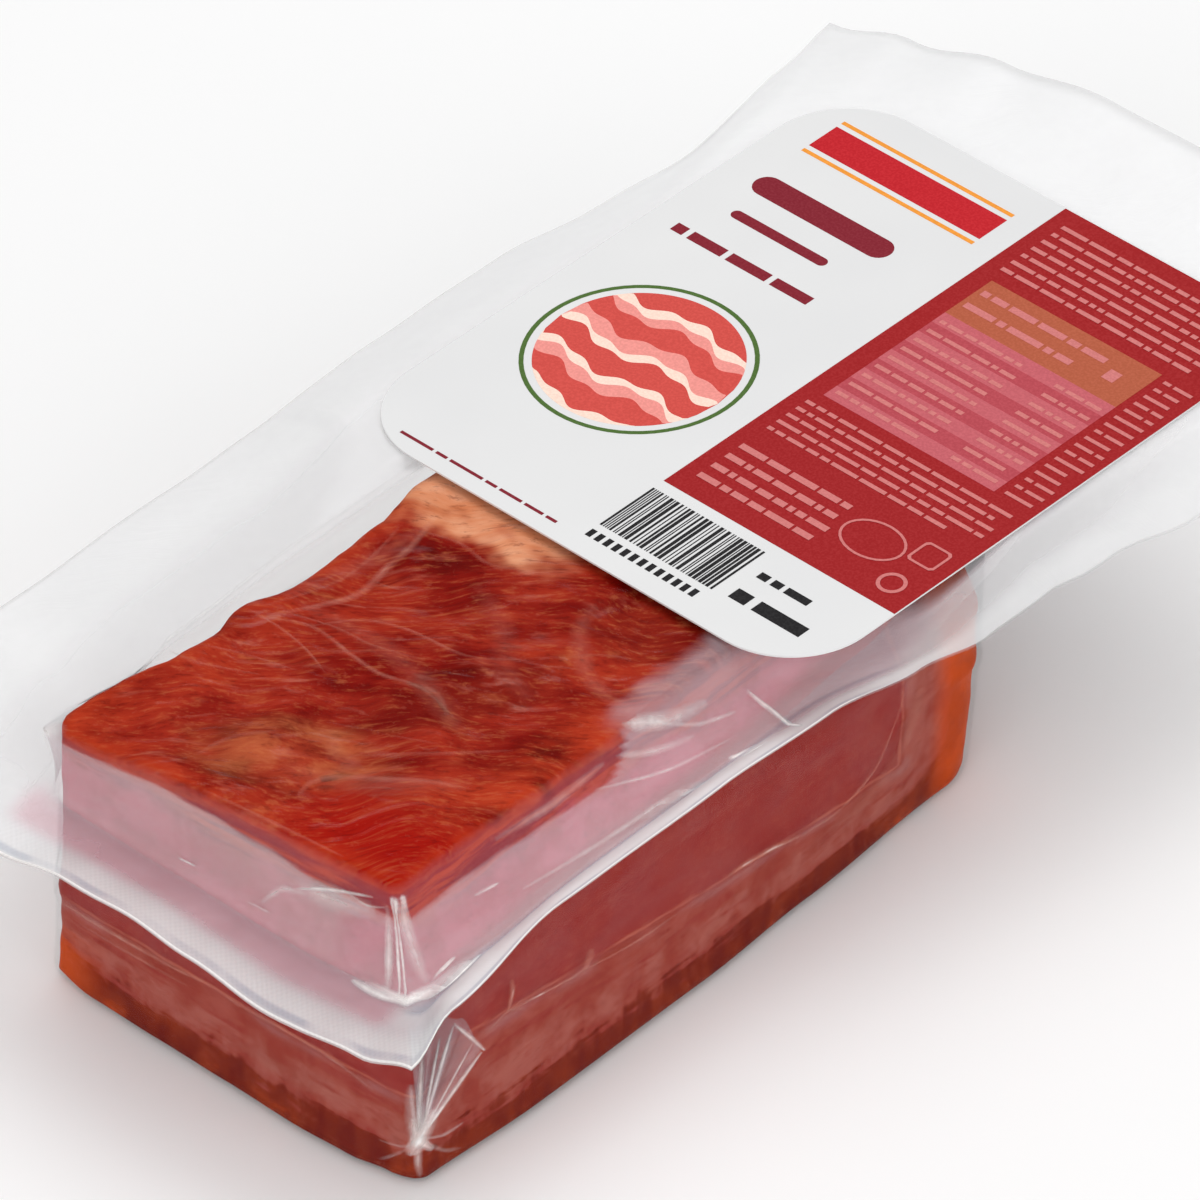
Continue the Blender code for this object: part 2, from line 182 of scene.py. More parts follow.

# Painted highlights along wrinkles of the film on the meat's top, as (width, strength, line of (x, y))
TOP_WRINKLE_HIGHLIGHTS = [
    (0.55, 0.34, [(-22.8, -20.0), (-16.8, -17.0), (-9.4, -17.9), (-4.6, -18.3), (0.7, -17.0), (7.0, -18.3)]),
    (0.45, 0.28, [(-16.8, -17.0), (-13.3, -12.1), (-8.0, -9.7), (0.7, -8.9), (6.1, -5.3)]),
    (0.9, 0.42, [(-22.0, -19.0), (-18.6, -13.0), (-17.0, -8.2), (-18.0, -2.0), (-18.3, 2.3), (-19.8, 8.0)]),
    (0.5, 0.20, [(-23.4, -17.6), (-20.5, -9.0), (-20.6, -2.0), (-21.8, 4.0)]),
    (0.8, 0.32, [(3.8, -41.6), (3.0, -38.6), (4.6, -35.8), (8.6, -32.7), (13.3, -29.1), (17.3, -27.3)]),
    (1.8, 0.16, [(-1.5, -29.7), (1.5, -32.6), (4.4, -32.9), (3.2, -37.2)]),
    (0.6, 0.24, [(4.2, -31.0), (8.0, -27.0), (11.6, -23.3), (16.2, -18.1)]),
    (1.8, 0.24, [(5.6, 8.2), (7.0, 4.4), (8.8, 1.8), (13.5, -2.2), (18.3, -3.6), (21.7, -3.4)]),
    (0.4, 0.24, [(-26.0, -31.4), (-21.4, -30.4), (-15.1, -27.6)]),
    (0.4, 0.20, [(-25.0, -28.4), (-19.0, -26.0), (-12.0, -24.2)]),
    (0.6, 0.20, [(-10.7, -43.2), (-9.9, -37.9), (-6.5, -33.7)]),
    (0.7, 0.30, [(-1.0, -17.5), (2.6, -16.5), (6.4, -18.6)]),
    (0.35, 0.3, [(-24.6, -19.6), (-20.0, -19.6), (-14.4, -20.6), (-9.0, -22.6)]),
    (0.35, 0.26, [(-21.5, -17.2), (-14.5, -15.2), (-9.0, -14.8), (-3.0, -12.9)]),
    (0.5, 0.22, [(-20.2, 4.5), (-14.5, 6.2), (-9.0, 5.6), (-5.0, 7.4)]),
    (0.5, 0.3, [(14.8, -45.6), (9.0, -46.2), (2.0, -46.9), (-5.0, -47.5)]),
    (2.6, 0.15, [(-19.0, -14.5), (-11.0, -14.0), (-3.0, -15.0), (5.0, -18.0), (9.0, -20.0)]),
    (2.2, 0.18, [(-19.5, 6.0), (-19.8, -1.0), (-21.5, -8.0), (-23.0, -15.0)]),
    (2.4, 0.12, [(-8.0, 2.0), (0.0, -2.0), (6.0, -8.0), (12.0, -10.0)]),
    (2.6, 0.14, [(-2.0, -38.0), (6.0, -36.0), (12.0, -31.0), (17.0, -26.0)]),
]

# Other painted highlights along creases of the films, as (width, strength, way out of the film, line of (x,
# y, z))
FINE_WRINKLE_HIGHLIGHTS = 30
UP_WAY = (0.0, 0.0, 1.0)
FRONT_WAY = (0.1, -0.8, 0.6)
SIDE_WAY = (0.8, -0.1, 0.6)
CORNER_WAY = (0.6, -0.7, 0.3)
FILM_CREASE_HIGHLIGHTS = [
    (0.9, 0.85, CORNER_WAY,
     [(22.9, -46.3, 38.6), (24.6, -47.9, 35.0), (26.0, -49.2, 31.6), (27.2, -50.1, 29.0)]),
    (0.6, 0.85, CORNER_WAY, [(23.2, -46.1, 38.5), (25.4, -47.7, 34.0), (28.3, -50.0, 28.6)]),
    (2.8, 0.40, CORNER_WAY, [(23.6, -45.4, 38.2), (26.9, -46.9, 34.0), (29.6, -47.6, 31.2)]),
    (2.0, 0.36, CORNER_WAY, [(22.4, -46.7, 37.6), (24.2, -49.0, 32.0), (25.4, -50.3, 28.6)]),
    (1.5, 0.7, FRONT_WAY, [(29.0, -50.2, 28.6), (24.4, -50.7, 28.0), (20.4, -50.7, 28.2)]),
    (1.5, 0.75, SIDE_WAY, [(28.4, -50.4, 28.7), (30.6, -46.0, 30.0), (30.8, -40.0, 31.4)]),
    (0.5, 0.5, SIDE_WAY, [(29.6, -46.4, 30.8), (29.8, -42.6, 31.9)]),
    (0.7, 0.40, FRONT_WAY, [(9.6, -50.1, 34.2), (14.4, -49.3, 36.2), (20.4, -47.9, 37.9)]),
    (0.5, 0.25, FRONT_WAY, [(16.0, -48.6, 37.0), (19.6, -48.5, 36.6), (22.4, -47.3, 37.4)]),
    (1.2, 0.28, FRONT_WAY, [(5.0, -51.0, 30.5), (6.4, -50.8, 32.2), (8.0, -50.8, 33.6), (11.0, -50.2, 34.2)]),
    (3.6, 0.22, FRONT_WAY, [(10.0, -50.0, 34.8), (15.0, -49.4, 35.2), (21.0, -47.9, 36.4)]),
    (0.5, 0.35, FRONT_WAY, [(-8.0, -50.9, 30.0), (-5.2, -50.9, 30.2)]),
    (0.45, 0.30, FRONT_WAY, [(3.0, -51.2, 29.6), (6.4, -51.2, 29.8)]),
    (0.8, 0.55, SIDE_WAY, [(28.3, 11.8, 38.2), (30.6, 13.0, 36.0), (32.8, 13.9, 34.6)]),
    (0.6, 0.5, SIDE_WAY, [(31.0, 5.2, 33.6), (31.4, 8.9, 33.8)]),
    (0.6, 0.45, SIDE_WAY, [(27.0, -36.2, 35.2), (27.6, -32.4, 35.2)]),
    (2.4, 0.40, SIDE_WAY, [(22.6, -6.0, 40.4), (24.2, -4.0, 39.9), (26.0, 1.0, 38.9), (26.6, 6.0, 38.6)]),
    (1.2, 0.24, SIDE_WAY, [(25.4, -8.4, 38.4), (26.8, -4.0, 37.4), (28.0, 2.0, 36.9)]),
    (0.7, 0.28, SIDE_WAY, [(24.4, -3.0, 39.8), (27.4, 3.0, 37.6), (28.9, 9.0, 37.2)]),
    (0.6, 0.25, SIDE_WAY, [(26.0, -14.0, 37.0), (28.4, -4.0, 35.4), (30.0, 6.0, 35.4)]),
    (1.4, 0.14, SIDE_WAY, [(24.6, -30.0, 38.4), (25.2, -20.0, 38.2), (25.0, -11.0, 38.7)]),
    (0.8, 0.25, SIDE_WAY, [(28.6, -30.0, 33.2), (29.6, -18.0, 33.2), (30.2, -6.0, 33.4), (31.2, 4.0, 34.0)]),
    (1.0, 0.35, (0.0, -0.5, 0.9), [(-28.6, -50.4, 38.4), (-30.6, -51.6, 34.0), (-31.6, -52.6, 30.5)]),
    (1.2, 0.25, (-0.8, 0.0, 0.6),
     [(-28.6, -47.0, 38.0), (-30.4, -30.0, 38.6), (-30.0, -10.0, 39.6), (-29.6, 10.0, 39.9)]),
]
POCKET_CREASE_HIGHLIGHTS = [
    (0.5, 0.30, [(-34.9, 18.5), (-30.0, 17.6), (-22.2, 16.3)]),
    (0.4, 0.22, [(-23.5, 16.9), (-16.0, 15.4), (-10.1, 14.8), (-3.0, 15.0)]),
    (0.7, 0.34, [(4.0, 15.0), (7.5, 14.8), (12.0, 14.2), (17.0, 13.0)]),
    (0.4, 0.24, [(15.0, 13.4), (22.9, 12.4), (30.5, 14.3), (34.6, 18.8), (36.7, 23.0)]),
    (2.2, 0.10, [(20.0, 9.0), (30.0, 10.5), (37.0, 15.0), (39.5, 22.0)]),
    (0.8, 0.28, [(-34.6, 18.4), (-33.4, 20.4), (-33.6, 22.6)]),
    (1.3, 0.22, [(-21.6, 16.4), (-20.4, 17.6), (-19.8, 18.6)]),
    (0.5, 0.16, [(-38.0, 17.0), (-34.6, 18.4), (-31.0, 16.4)]),
]
FRONT_CREASE_HIGHLIGHTS = [
    (0.8, 0.22, [(-26.3, 13.2), (-20.0, 13.2), (-12.4, 13.5), (-6.0, 13.9)]),
    (0.6, 0.20, [(-10.0, 13.3), (-3.5, 14.2), (2.0, 14.0), (9.6, 14.1), (15.0, 13.9)]),
    (0.6, 0.22, [(12.0, 14.2), (18.8, 13.7), (23.0, 12.6)]),
    (1.6, 0.10, [(2.0, 8.0), (10.0, 7.6), (18.0, 8.4)]),
    (0.5, 0.14, [(-24.0, 11.4), (-14.0, 11.6), (-6.0, 11.9)]),
]
PLEAT_TIP = (30.1, -49.8, 8.8)
PLEAT_CREASE_HIGHLIGHTS = [
    (0.8, 0.95, [(32.2, -41.4, 17.8), PLEAT_TIP]),
    (0.5, 0.6, [(32.4, -43.0, 20.5), PLEAT_TIP]),
    (0.7, 0.85, [(32.0, -46.0, 24.5), PLEAT_TIP]),
    (0.5, 0.6, [(31.4, -47.6, 23.5), (30.5, -49.6, 11.0)]),
    (0.9, 0.5, [(30.6, -49.8, 22.0), (30.2, -50.2, 10.0)]),
    (0.8, 0.75, [(32.6, -46.6, 25.6), (32.9, -43.6, 21.4), (32.3, -41.0, 17.8)]),
    (2.2, 0.30, [(29.4, -50.4, 17.0), (29.8, -50.4, 8.0)]),
    (2.6, 0.85, [(31.2, -48.4, 13.0), (30.3, -50.0, 9.0), (29.4, -50.8, 6.4)]),
    (1.8, 0.70, [(29.6, -50.4, 12.0), (30.1, -50.2, 9.0), (31.0, -48.6, 6.8)]),
    (1.6, 0.45, [(30.4, -49.9, 14.0), (30.2, -50.0, 9.5), (29.8, -50.3, 6.4)]),
    (1.2, 0.45, [PLEAT_TIP, (30.2, -50.3, 5.8), (30.4, -50.2, 3.4)]),
    (0.7, 0.28, [PLEAT_TIP, (28.6, -50.9, 7.4), (25.0, -51.3, 6.6)]),
    (0.9, 0.20, [(29.8, -50.4, 8.2), (27.4, -51.0, 5.6), (25.6, -51.9, 4.4)]),
    (0.7, 0.28, [PLEAT_TIP, (30.9, -46.8, 7.8), (31.3, -43.6, 8.0)]),
    (0.9, 0.18, [PLEAT_TIP, (31.2, -47.2, 6.0), (31.6, -44.6, 4.8)]),
]


def paint(red, green, blue):
    """Linear colour of a screen colour given in 0 to 255."""
    shares = [value / 255 for value in (red, green, blue)]
    return tuple(share / 12.92 if share <= 0.04045 else ((share + 0.055) / 1.055) ** 2.4 for share in shares)


def smooth(value, low, high):
    """Turn from 0 at low to 1 at high along an S curve."""
    share = min(1.0, max(0.0, (value - low) / (high - low)))
    return share * share * (3.0 - 2.0 * share)


def along(curve, place):
    """Value of a curve of (place, value) points at a place, with eased steps."""
    if place <= curve[0][0]:
        return curve[0][1]
    for (low, first), (high, last) in zip(curve, curve[1:]):
        if place <= high:
            return first + (last - first) * smooth(place, low, high)
    return curve[-1][1]


def between(first, last, share):
    return tuple(a + (b - a) * share for a, b in zip(first, last))


def stretch(first, last, count):
    return [between(first, last, step / count) for step in range(count)]


def arc(first, last, centre, count):
    points = []
    for step in range(count):
        turn = step / count * pi / 2
        points.append(tuple(c + (a - c) * cos(turn) + (b - c) * sin(turn)
                            for a, b, c in zip(first, last, centre)))
    return points


def rounded_outline(left, right, front, rear, front_radius, rear_radius):
    """Anticlockwise outline of the block or the pocket, from its front left."""
    near, far = front + front_radius, rear - rear_radius
    points = stretch((left + front_radius, front), (right - front_radius, front), FRONT_POINTS)
    points += arc((right - front_radius, front), (right, near), (right - front_radius, near),
                  FRONT_CORNER_POINTS)
    points += stretch((right, near), (right, far), SIDE_POINTS)
    points += arc((right, far), (right - rear_radius, rear), (right - rear_radius, far), REAR_CORNER_POINTS)
    points += stretch((right - rear_radius, rear), (left + rear_radius, rear), REAR_POINTS)
    points += arc((left + rear_radius, rear), (left, far), (left + rear_radius, far), REAR_CORNER_POINTS)
    points += stretch((left, far), (left, near), SIDE_POINTS)
    points += arc((left, near), (left + front_radius, front), (left + front_radius, near),
                  FRONT_CORNER_POINTS)
    return points


def sheet_outline():
    """Cut edge of the two films, with the same points as the pocket's outline."""
    front_right = along(RIGHT_SIDE, SHEET_FRONT)
    side_points = round(REAR_CORNER_POINTS / DENSITY * SHEET_CORNER_SHARE) * DENSITY
    rear_points = REAR_CORNER_POINTS - side_points
    first_leg = 3 * DENSITY
    second_leg = FRONT_CORNER_POINTS - first_leg
    beside_rear = BLOCK_REAR - 3.5
    near = SHEET_FRONT + 9.0
    rear_start = SHEET_RIGHT - 22.0
    rear_end = SHEET_LEFT + 22.0
    points = stretch((SHEET_LEFT + 18.0, SHEET_FRONT), (front_right - 5.0, SHEET_FRONT), FRONT_POINTS)
    points += stretch((front_right - 5.0, SHEET_FRONT), (front_right, SHEET_FRONT), first_leg)
    points += stretch((SHEET_RIGHT, SHEET_FRONT), (SHEET_RIGHT, near), second_leg)
    points += stretch((SHEET_RIGHT, near), (SHEET_RIGHT, beside_rear), SIDE_POINTS)
    points += stretch((SHEET_RIGHT, beside_rear), (SHEET_RIGHT, SHEET_REAR), side_points)
    points += stretch((SHEET_RIGHT, SHEET_REAR), (rear_start, SHEET_REAR), rear_points)
    points += stretch((rear_start, SHEET_REAR), (rear_end, SHEET_REAR), REAR_POINTS)
    points += stretch((rear_end, SHEET_REAR), (SHEET_LEFT, SHEET_REAR), rear_points)
    points += stretch((SHEET_LEFT, SHEET_REAR), (SHEET_LEFT, beside_rear), side_points)
    points += stretch((SHEET_LEFT, beside_rear), (SHEET_LEFT, near + 9.0), SIDE_POINTS)
    points += stretch((SHEET_LEFT, near + 9.0), (SHEET_LEFT, SHEET_FRONT), first_leg)
    points += stretch((SHEET_LEFT, SHEET_FRONT), (SHEET_LEFT + 18.0, SHEET_FRONT), second_leg)
    return [(along(RIGHT_SIDE, y) if x == SHEET_RIGHT else x, y) for x, y in points]


def swept(points, distance):
    """Swing the right side of an outline out below the label's overhang."""
    return [(x + distance * smooth(y, SWEEP_START, SWEEP_END) * smooth(x, 0.0, BLOCK_WIDTH / 3), y)
            for x, y in points]


def wall_outline(inset=0.0):
    """Straight outline that the pocket's walls aim at."""
    half_width = BLOCK_WIDTH / 2 - inset
    return rounded_outline(-half_width, half_width, BLOCK_FRONT + inset, BLOCK_REAR - inset,
                           FOOT_FRONT_CORNER - inset * 0.2, FOOT_REAR_CORNER - inset * 0.5)


def spread_out(x, y, amount=1.0):
    """Move a point of an outline out to where the foot spreads."""
    side = along(SIDE_SPREAD, y) * smooth(abs(x), 20.0, 27.0) * amount
    front = along(FRONT_SPREAD, x) * (1.0 - smooth(y, BLOCK_FRONT, BLOCK_FRONT + 8.0)) * amount
    return x + (side if x > 0 else -side), y - front


def foot_outline(inset=0.0):
    return [spread_out(x, y) for x, y in wall_outline(inset)]


def corner_share(x, y):
    """How near a point is to the top's front left corner, from 0 to 1."""
    return (1.0 - smooth(x, -26.0, -12.0)) * (1.0 - smooth(y, BLOCK_FRONT, -34.0))


def top_outline(outset=0.0):
    """Edge of the block's top."""
    left = -BLOCK_WIDTH / 2 + LEAN_LEFT - outset
    right = BLOCK_WIDTH / 2 - LEAN_RIGHT + outset
    front = BLOCK_FRONT - outset
    points = rounded_outline(left, right, front, BLOCK_REAR + outset, 1.5, REAR_CORNER + 2.0)
    skewed = []
    for x, y in points:
        lean = LEAN_FRONT * (x - left) / (right - left)
        skewed.append((x - CORNER_REACH * corner_share(x, y), y + lean * (1.0 - smooth(y, front, 0.0))))
    return skewed


def crease_outline(outset=0.0):
    """Line where the upper film turns down."""
    return swept(top_outline(outset), CREASE_SWEEP)


def seal_outline():
    """Inner line of the seal, where the two films meet."""
    points = rounded_outline(-BLOCK_WIDTH / 2 - SEAL_OUT, BLOCK_WIDTH / 2 + SEAL_OUT,
                             BLOCK_FRONT - 0.7, BLOCK_REAR + 1.5, FRONT_CORNER, REAR_CORNER)
    return swept(points, SEAL_SWEEP)


def pocket_outline():
    """Upper end of the formed pocket, just below the seal."""
    return rounded_outline(-BLOCK_WIDTH / 2 - 1.0, BLOCK_WIDTH / 2 + 1.0, BLOCK_FRONT - 0.5,
                           BLOCK_REAR + 1.0, FRONT_CORNER, REAR_CORNER)


def foot_steps():
    """Insets and heights of the rings that round the foot."""
    return [(FOOT_ROUND * (1.0 - cos(turn * pi / 2)), FOOT_ROUND * (1.0 - sin(turn * pi / 2)))
            for turn in (0.35, 0.7, 1.0)]


def label_place(x, y):
    """Position of a point in the label's own width and length, from its centre."""
    turn = radians(LABEL_TURN)
    away_x, away_y = x - LABEL_CENTRE[0], y - LABEL_CENTRE[1]
    return away_x * cos(turn) + away_y * sin(turn), away_y * cos(turn) - away_x * sin(turn)


def on_label(x, y, margin=0.5):
    across, length = label_place(x, y)
    return abs(across) < LABEL_WIDTH / 2 + margin and abs(length) < LABEL_LENGTH / 2 + margin


def plate_height(x, y):
    """Film height on the block's top and under the label."""
    length = label_place(x, y)[1]
    slope = sin(radians(LABEL_RISE))
    return LABEL_SURFACE + slope * (LABEL_LENGTH / 2 + max(-LABEL_LENGTH / 2, length))


def top_height(x, y):
    """Film height on the uneven top of the meat."""
    wave = sin(0.13 * x + 0.07 * y) * cos(0.11 * y - 0.05 * x) + 0.5 * sin(0.16 * x - 0.12 * y + 1.0)
    relief = TOP_RELIEF * (wave - 1.0) * (1.0 - smooth(y, -6.0, 10.0))
    return plate_height(x, y) + relief - CORNER_DROOP * corner_share(x, y)


def edge_height(x, y):
    if y <= SHEET_FRONT:
        return along(FRONT_EDGE, x)
    if y >= SHEET_REAR:
        return along(REAR_EDGE, x)
    return along(RIGHT_EDGE if x > 0 else LEFT_EDGE, y)


def seal_height(x, y):
    """Height of the seal's inner line, low at the front and the right, level with the label at the rear."""
    front = along(FRONT_SEAL, x)
    side = along(RIGHT_SEAL if x > 0 else LEFT_SEAL, y)
    height = front + (side - front) * smooth(y, BLOCK_FRONT - 0.7, BLOCK_FRONT + 4.0)
    reach = smooth(y, REAR_START, BLOCK_REAR - 2.0)
    return height + (plate_height(x, y) - height) * reach


def pocket_tops():
    """Points of the pocket's upper end."""
    return [(x, y, seal_height(*place) - WEB_GAP - 0.3)
            for (x, y), place in zip(pocket_outline(), seal_outline())]


def label_cover(seal, edge):
    """Share of the way from the seal to the sheet's edge that the label holds up, at each point."""
    shares = []
    for start, end in zip(seal, edge):
        covered = [step / 50 for step in range(50) if on_label(*between(start, end, step / 50))]
        beside_block = start[0] > 0 and start[1] < REAR_START
        shares.append(max(covered) if covered and not beside_block else 0.0)
    count = len(shares)
    near = range(-DENSITY, DENSITY + 1)
    reach = [max(shares[(i + k) % count] for k in near) for i in range(count)]
    spread = range(-COVER_SPREAD * DENSITY, COVER_SPREAD * DENSITY + 1)
    eased = [sum(reach[(i + k) % count] for k in spread) / len(spread) for i in range(count)]
    return [max(share, ease) for share, ease in zip(shares, eased)]


def near_fold(place, start, end, width):
    """How near a place is to a fold, from 0 to 1, fading out towards the fold's end."""
    run = Vector(end) - Vector(start)
    share = min(1.0, max(0.0, (Vector(place) - Vector(start)).dot(run) / run.length_squared))
    away = (Vector(place) - Vector(start) - run * share).length
    return exp(-(away / width) ** 2) * (1.0 - 0.75 * share)


def ripple(x, y, pitch, seed):
    """Soft random wave between about -1 and 1."""
    return noise.noise(Vector((x / pitch, y / pitch, seed)))


class FilmSkin:
    """Skin through rings of film points, which the painted crease highlights are laid on."""

    def __init__(self, rings):
        count = len(rings[0])
        faces = [(row + i, row + count + i, row + count + (i + 1) % count, row + (i + 1) % count)
                 for row in range(0, (len(rings) - 1) * count, count) for i in range(count)]
        self.tree = BVHTree.FromPolygons([point.place for ring in rings for point in ring], faces)

    def lay(self, place, way, lift):
        """Nearest place on the skin, lifted off it on the side of a way."""
        spot, normal, _, _ = self.tree.find_nearest(place)
        return spot + (normal if normal.dot(way) > 0 else -normal) * lift


def crease_rows(line, width, strength, way, skin=None, white=0.0):
    """Rows of film points of a narrow ridge along a line, which fades at its ends and sides and carries a
    painted highlight.
    """
    curve = []
    ends = [line[0]] + list(line) + [line[-1]]
    for before, start, end, after in zip(ends, ends[1:], ends[2:], ends[3:]):
        for step in range(7):
            t = step / 7
            curve.append(Vector([0.5 * (2 * b + (c - a) * t + (2 * a - 5 * b + 4 * c - d) * t * t
                                        + (3 * b - a - 3 * c + d) * t ** 3)
                                 for a, b, c, d in zip(before, start, end, after)]))
    curve.append(Vector(line[-1]))
    rows = []
    for step, place in enumerate(curve):
        run = curve[min(step + 1, len(curve) - 1)] - curve[max(step - 1, 0)]
        side = run.cross(Vector(way)).normalized()
        taper = sin(pi * (0.04 + 0.92 * step / (len(curve) - 1))) ** 0.6
        fade = taper * (0.8 + 0.5 * ripple(place.x + place.z, place.y, 2.0, 3.3))
        row = []
        for across, share in CREASE_PROFILE:
            at = place + side * across * width * (0.3 + 0.7 * taper) / 2 + Vector(way) * 0.1 * share
            if skin:
                at = skin.lay(at, Vector(way), 0.16 + 0.1 * share)
            row.append(FilmPoint(tuple(at), min(0.95, strength * fade * share), gleam=white))
        rows.append(row)
    return rows


def on_top(x, y):
    return x, y, top_height(x, y) + 0.14


def wall_stand(z, ledge, spread):
    """How far the pocket's wall stands out at a height."""
    swell = WALL_SWELL * sin(pi * min(1.0, z / WALL_HEIGHT))
    stand = swell + LEDGE_STAND * exp(-((z - ledge) / LEDGE_ROUND) ** 2)
    return stand + spread * max(0.0, 1.0 - z / WALL_HEIGHT) ** 3


def on_right_wall(y, z):
    stand = wall_stand(z, ledge_height(y), along(SIDE_SPREAD, y))
    return BLOCK_WIDTH / 2 + z / WALL_HEIGHT + stand + 0.1, y, z


def on_front_wall(x, z):
    stand = wall_stand(z, LEDGE_HEIGHT, along(FRONT_SPREAD, x))
    return x, BLOCK_FRONT - 0.5 * z / WALL_HEIGHT - stand - 0.1, z


def all_crease_highlights():
    """Rows of every painted crease highlight of the films."""
    creases = []
    for width, strength, line in TOP_WRINKLE_HIGHLIGHTS:
        line = [on_top(x, y) for x, y in line]
        creases.append(crease_rows(line, width * 1.7, strength * 0.75, UP_WAY))
    random = Random(5)
    for _ in range(FINE_WRINKLE_HIGHLIGHTS):
        x, y = random.uniform(-24.0, 16.0), random.uniform(-42.0, 4.0)
        turn = radians(34.0 + random.uniform(-16.0, 16.0))
        reach, bow = random.uniform(2.5, 8.0), random.uniform(-0.8, 0.8)
        line = [on_top(x + reach * t * cos(turn) - bow * sin(pi * t) * sin(turn),
                       y + reach * t * sin(turn) + bow * sin(pi * t) * cos(turn))
                for t in (0.0, 0.35, 0.7, 1.0)]
        if line[-1][0] < 20.0:
            width, strength = random.uniform(0.4, 1.1), random.uniform(0.05, 0.15)
            creases.append(crease_rows(line, width, strength, UP_WAY))
    upper, lower = FilmSkin(upper_film_points()), FilmSkin(lower_film_points())
    for width, strength, way, line in FILM_CREASE_HIGHLIGHTS:
        creases.append(crease_rows(line, width, min(1.0, strength * 1.4), way, upper, 1.0))
    for width, strength, line in POCKET_CREASE_HIGHLIGHTS:
        line = [on_right_wall(y, z) for y, z in line]
        creases.append(crease_rows(line, width * 1.5, strength * 1.6, (1.0, 0.0, 0.0), lower))
    for width, strength, line in FRONT_CREASE_HIGHLIGHTS:
        line = [on_front_wall(x, z) for x, z in line]
        creases.append(crease_rows(line, width * 1.5, strength * 1.9, (0.0, -1.0, 0.0), lower))
    for width, strength, line in PLEAT_CREASE_HIGHLIGHTS:
        creases.append(crease_rows(line, width, strength, (0.8, -0.6, 0.0), None, 0.8))
    return creases


def band_depth(y, z):
    """How far a place on the wall lies inside the band that runs along the foot and up the rear end."""
    ledge = LEDGE_HEIGHT + (1.2 - 0.1 * y) * smooth(y, -48.0, -44.0)
    reach, skin = 8.5, 5.2
    up = max(0.0, reach - (z - skin) * reach / (ledge - skin))
    return reach - hypot(up, max(0.0, reach - (46.0 - y) * 0.9))


def ledge_height(y):
    """Height of the formed ledge along the pocket's wall."""
    side = 15.0 - 0.1 * y + 8.0 * smooth(y, 26.0, 40.0)
    return LEDGE_HEIGHT + (side - LEDGE_HEIGHT) * smooth(y, BLOCK_FRONT + 0.2, BLOCK_FRONT + 4.0)


class FilmPoint:
    """A point of a film with what its finish depends on."""

    def __init__(self, place, haze, seal=0.0, gleam=0.0, cling=0.0):
        self.place = place
        self.haze = haze
        self.seal = seal
        self.gleam = gleam
        self.cling = cling


def web_point(start, end, share, cover):
    """Point of the sealed rim at a share of the way from the seal's inner line to the cut edge."""
    x, y = between(start[:2], end, share)
    stiff = smooth(cover, 0.0, 0.4)
    fall = max(0.0, (share - cover) / (1.0 - cover)) ** (1.0 + (RIM_EASE - 1.0) * stiff)
    held = start[2] + (plate_height(x, y) - start[2]) * stiff
    loose = smooth(share, cover, cover + 0.3) * smooth(hypot(x - start[0], y - start[1]), 0.0, 8.0)
    flutter = 0.35 * ripple(x, y, 9.0, 3.7) * loose
    return x, y, held + (edge_height(*end) - held) * fall + flutter


def web_rings():
    seal, edge = seal_outline(), sheet_outline()
    cover = label_cover(seal, edge)
    starts = [(x, y, seal_height(x, y)) for x, y in seal]
    rings = [starts]
    for step in range(1, WEB_RINGS + 1):
        share = step / WEB_RINGS
        rings.append([web_point(start, end, share, held) for start, end, held in zip(starts, edge, cover)])
    return rings


def contact_share(x, y):
    """Part of the tent, from the top edge down, over which the film still touches the meat."""
    front = 0.03 + 0.20 * smooth(x, -20.0, 18.0)
    side = 0.26 + 0.10 * smooth(y, -40.0, -14.0) - 0.50 * smooth(y, -12.0, -3.0)
    return front + (side - front) * smooth(y, -48.0, -44.0) + 0.05 * ripple(x, y, 6.0, 1.3)


def tent_rings(seal):
    """Rings of the upper film from the meat's top edge down to the seal."""
    shoulder = []
    for (x, y), low in zip(crease_outline(SHOULDER), seal):
        drop = 1.2 * min(1.0, max(0.0, (top_height(x, y) - low[2]) / 6.0))
        shoulder.append((x, y, top_height(x, y) - drop))
    rings = []
    for step in range(TENT_RINGS):
        share = step / TENT_RINGS
        ring = []
        for high, low in zip(shoulder, seal):
            x, y, z = between(high, low, share)
            steep = min(1.0, max(0.0, (high[2] - low[2]) / 8.0))
            sag = (0.5 + 0.3 * ripple(x, y, 11.0, 8.1)) * sin(pi * share) * steep
            ring.append((x * (1.0 - sag / 30.0), y * (1.0 - sag / 60.0), z - 0.25 * sag))
        rings.append(ring)
    return rings


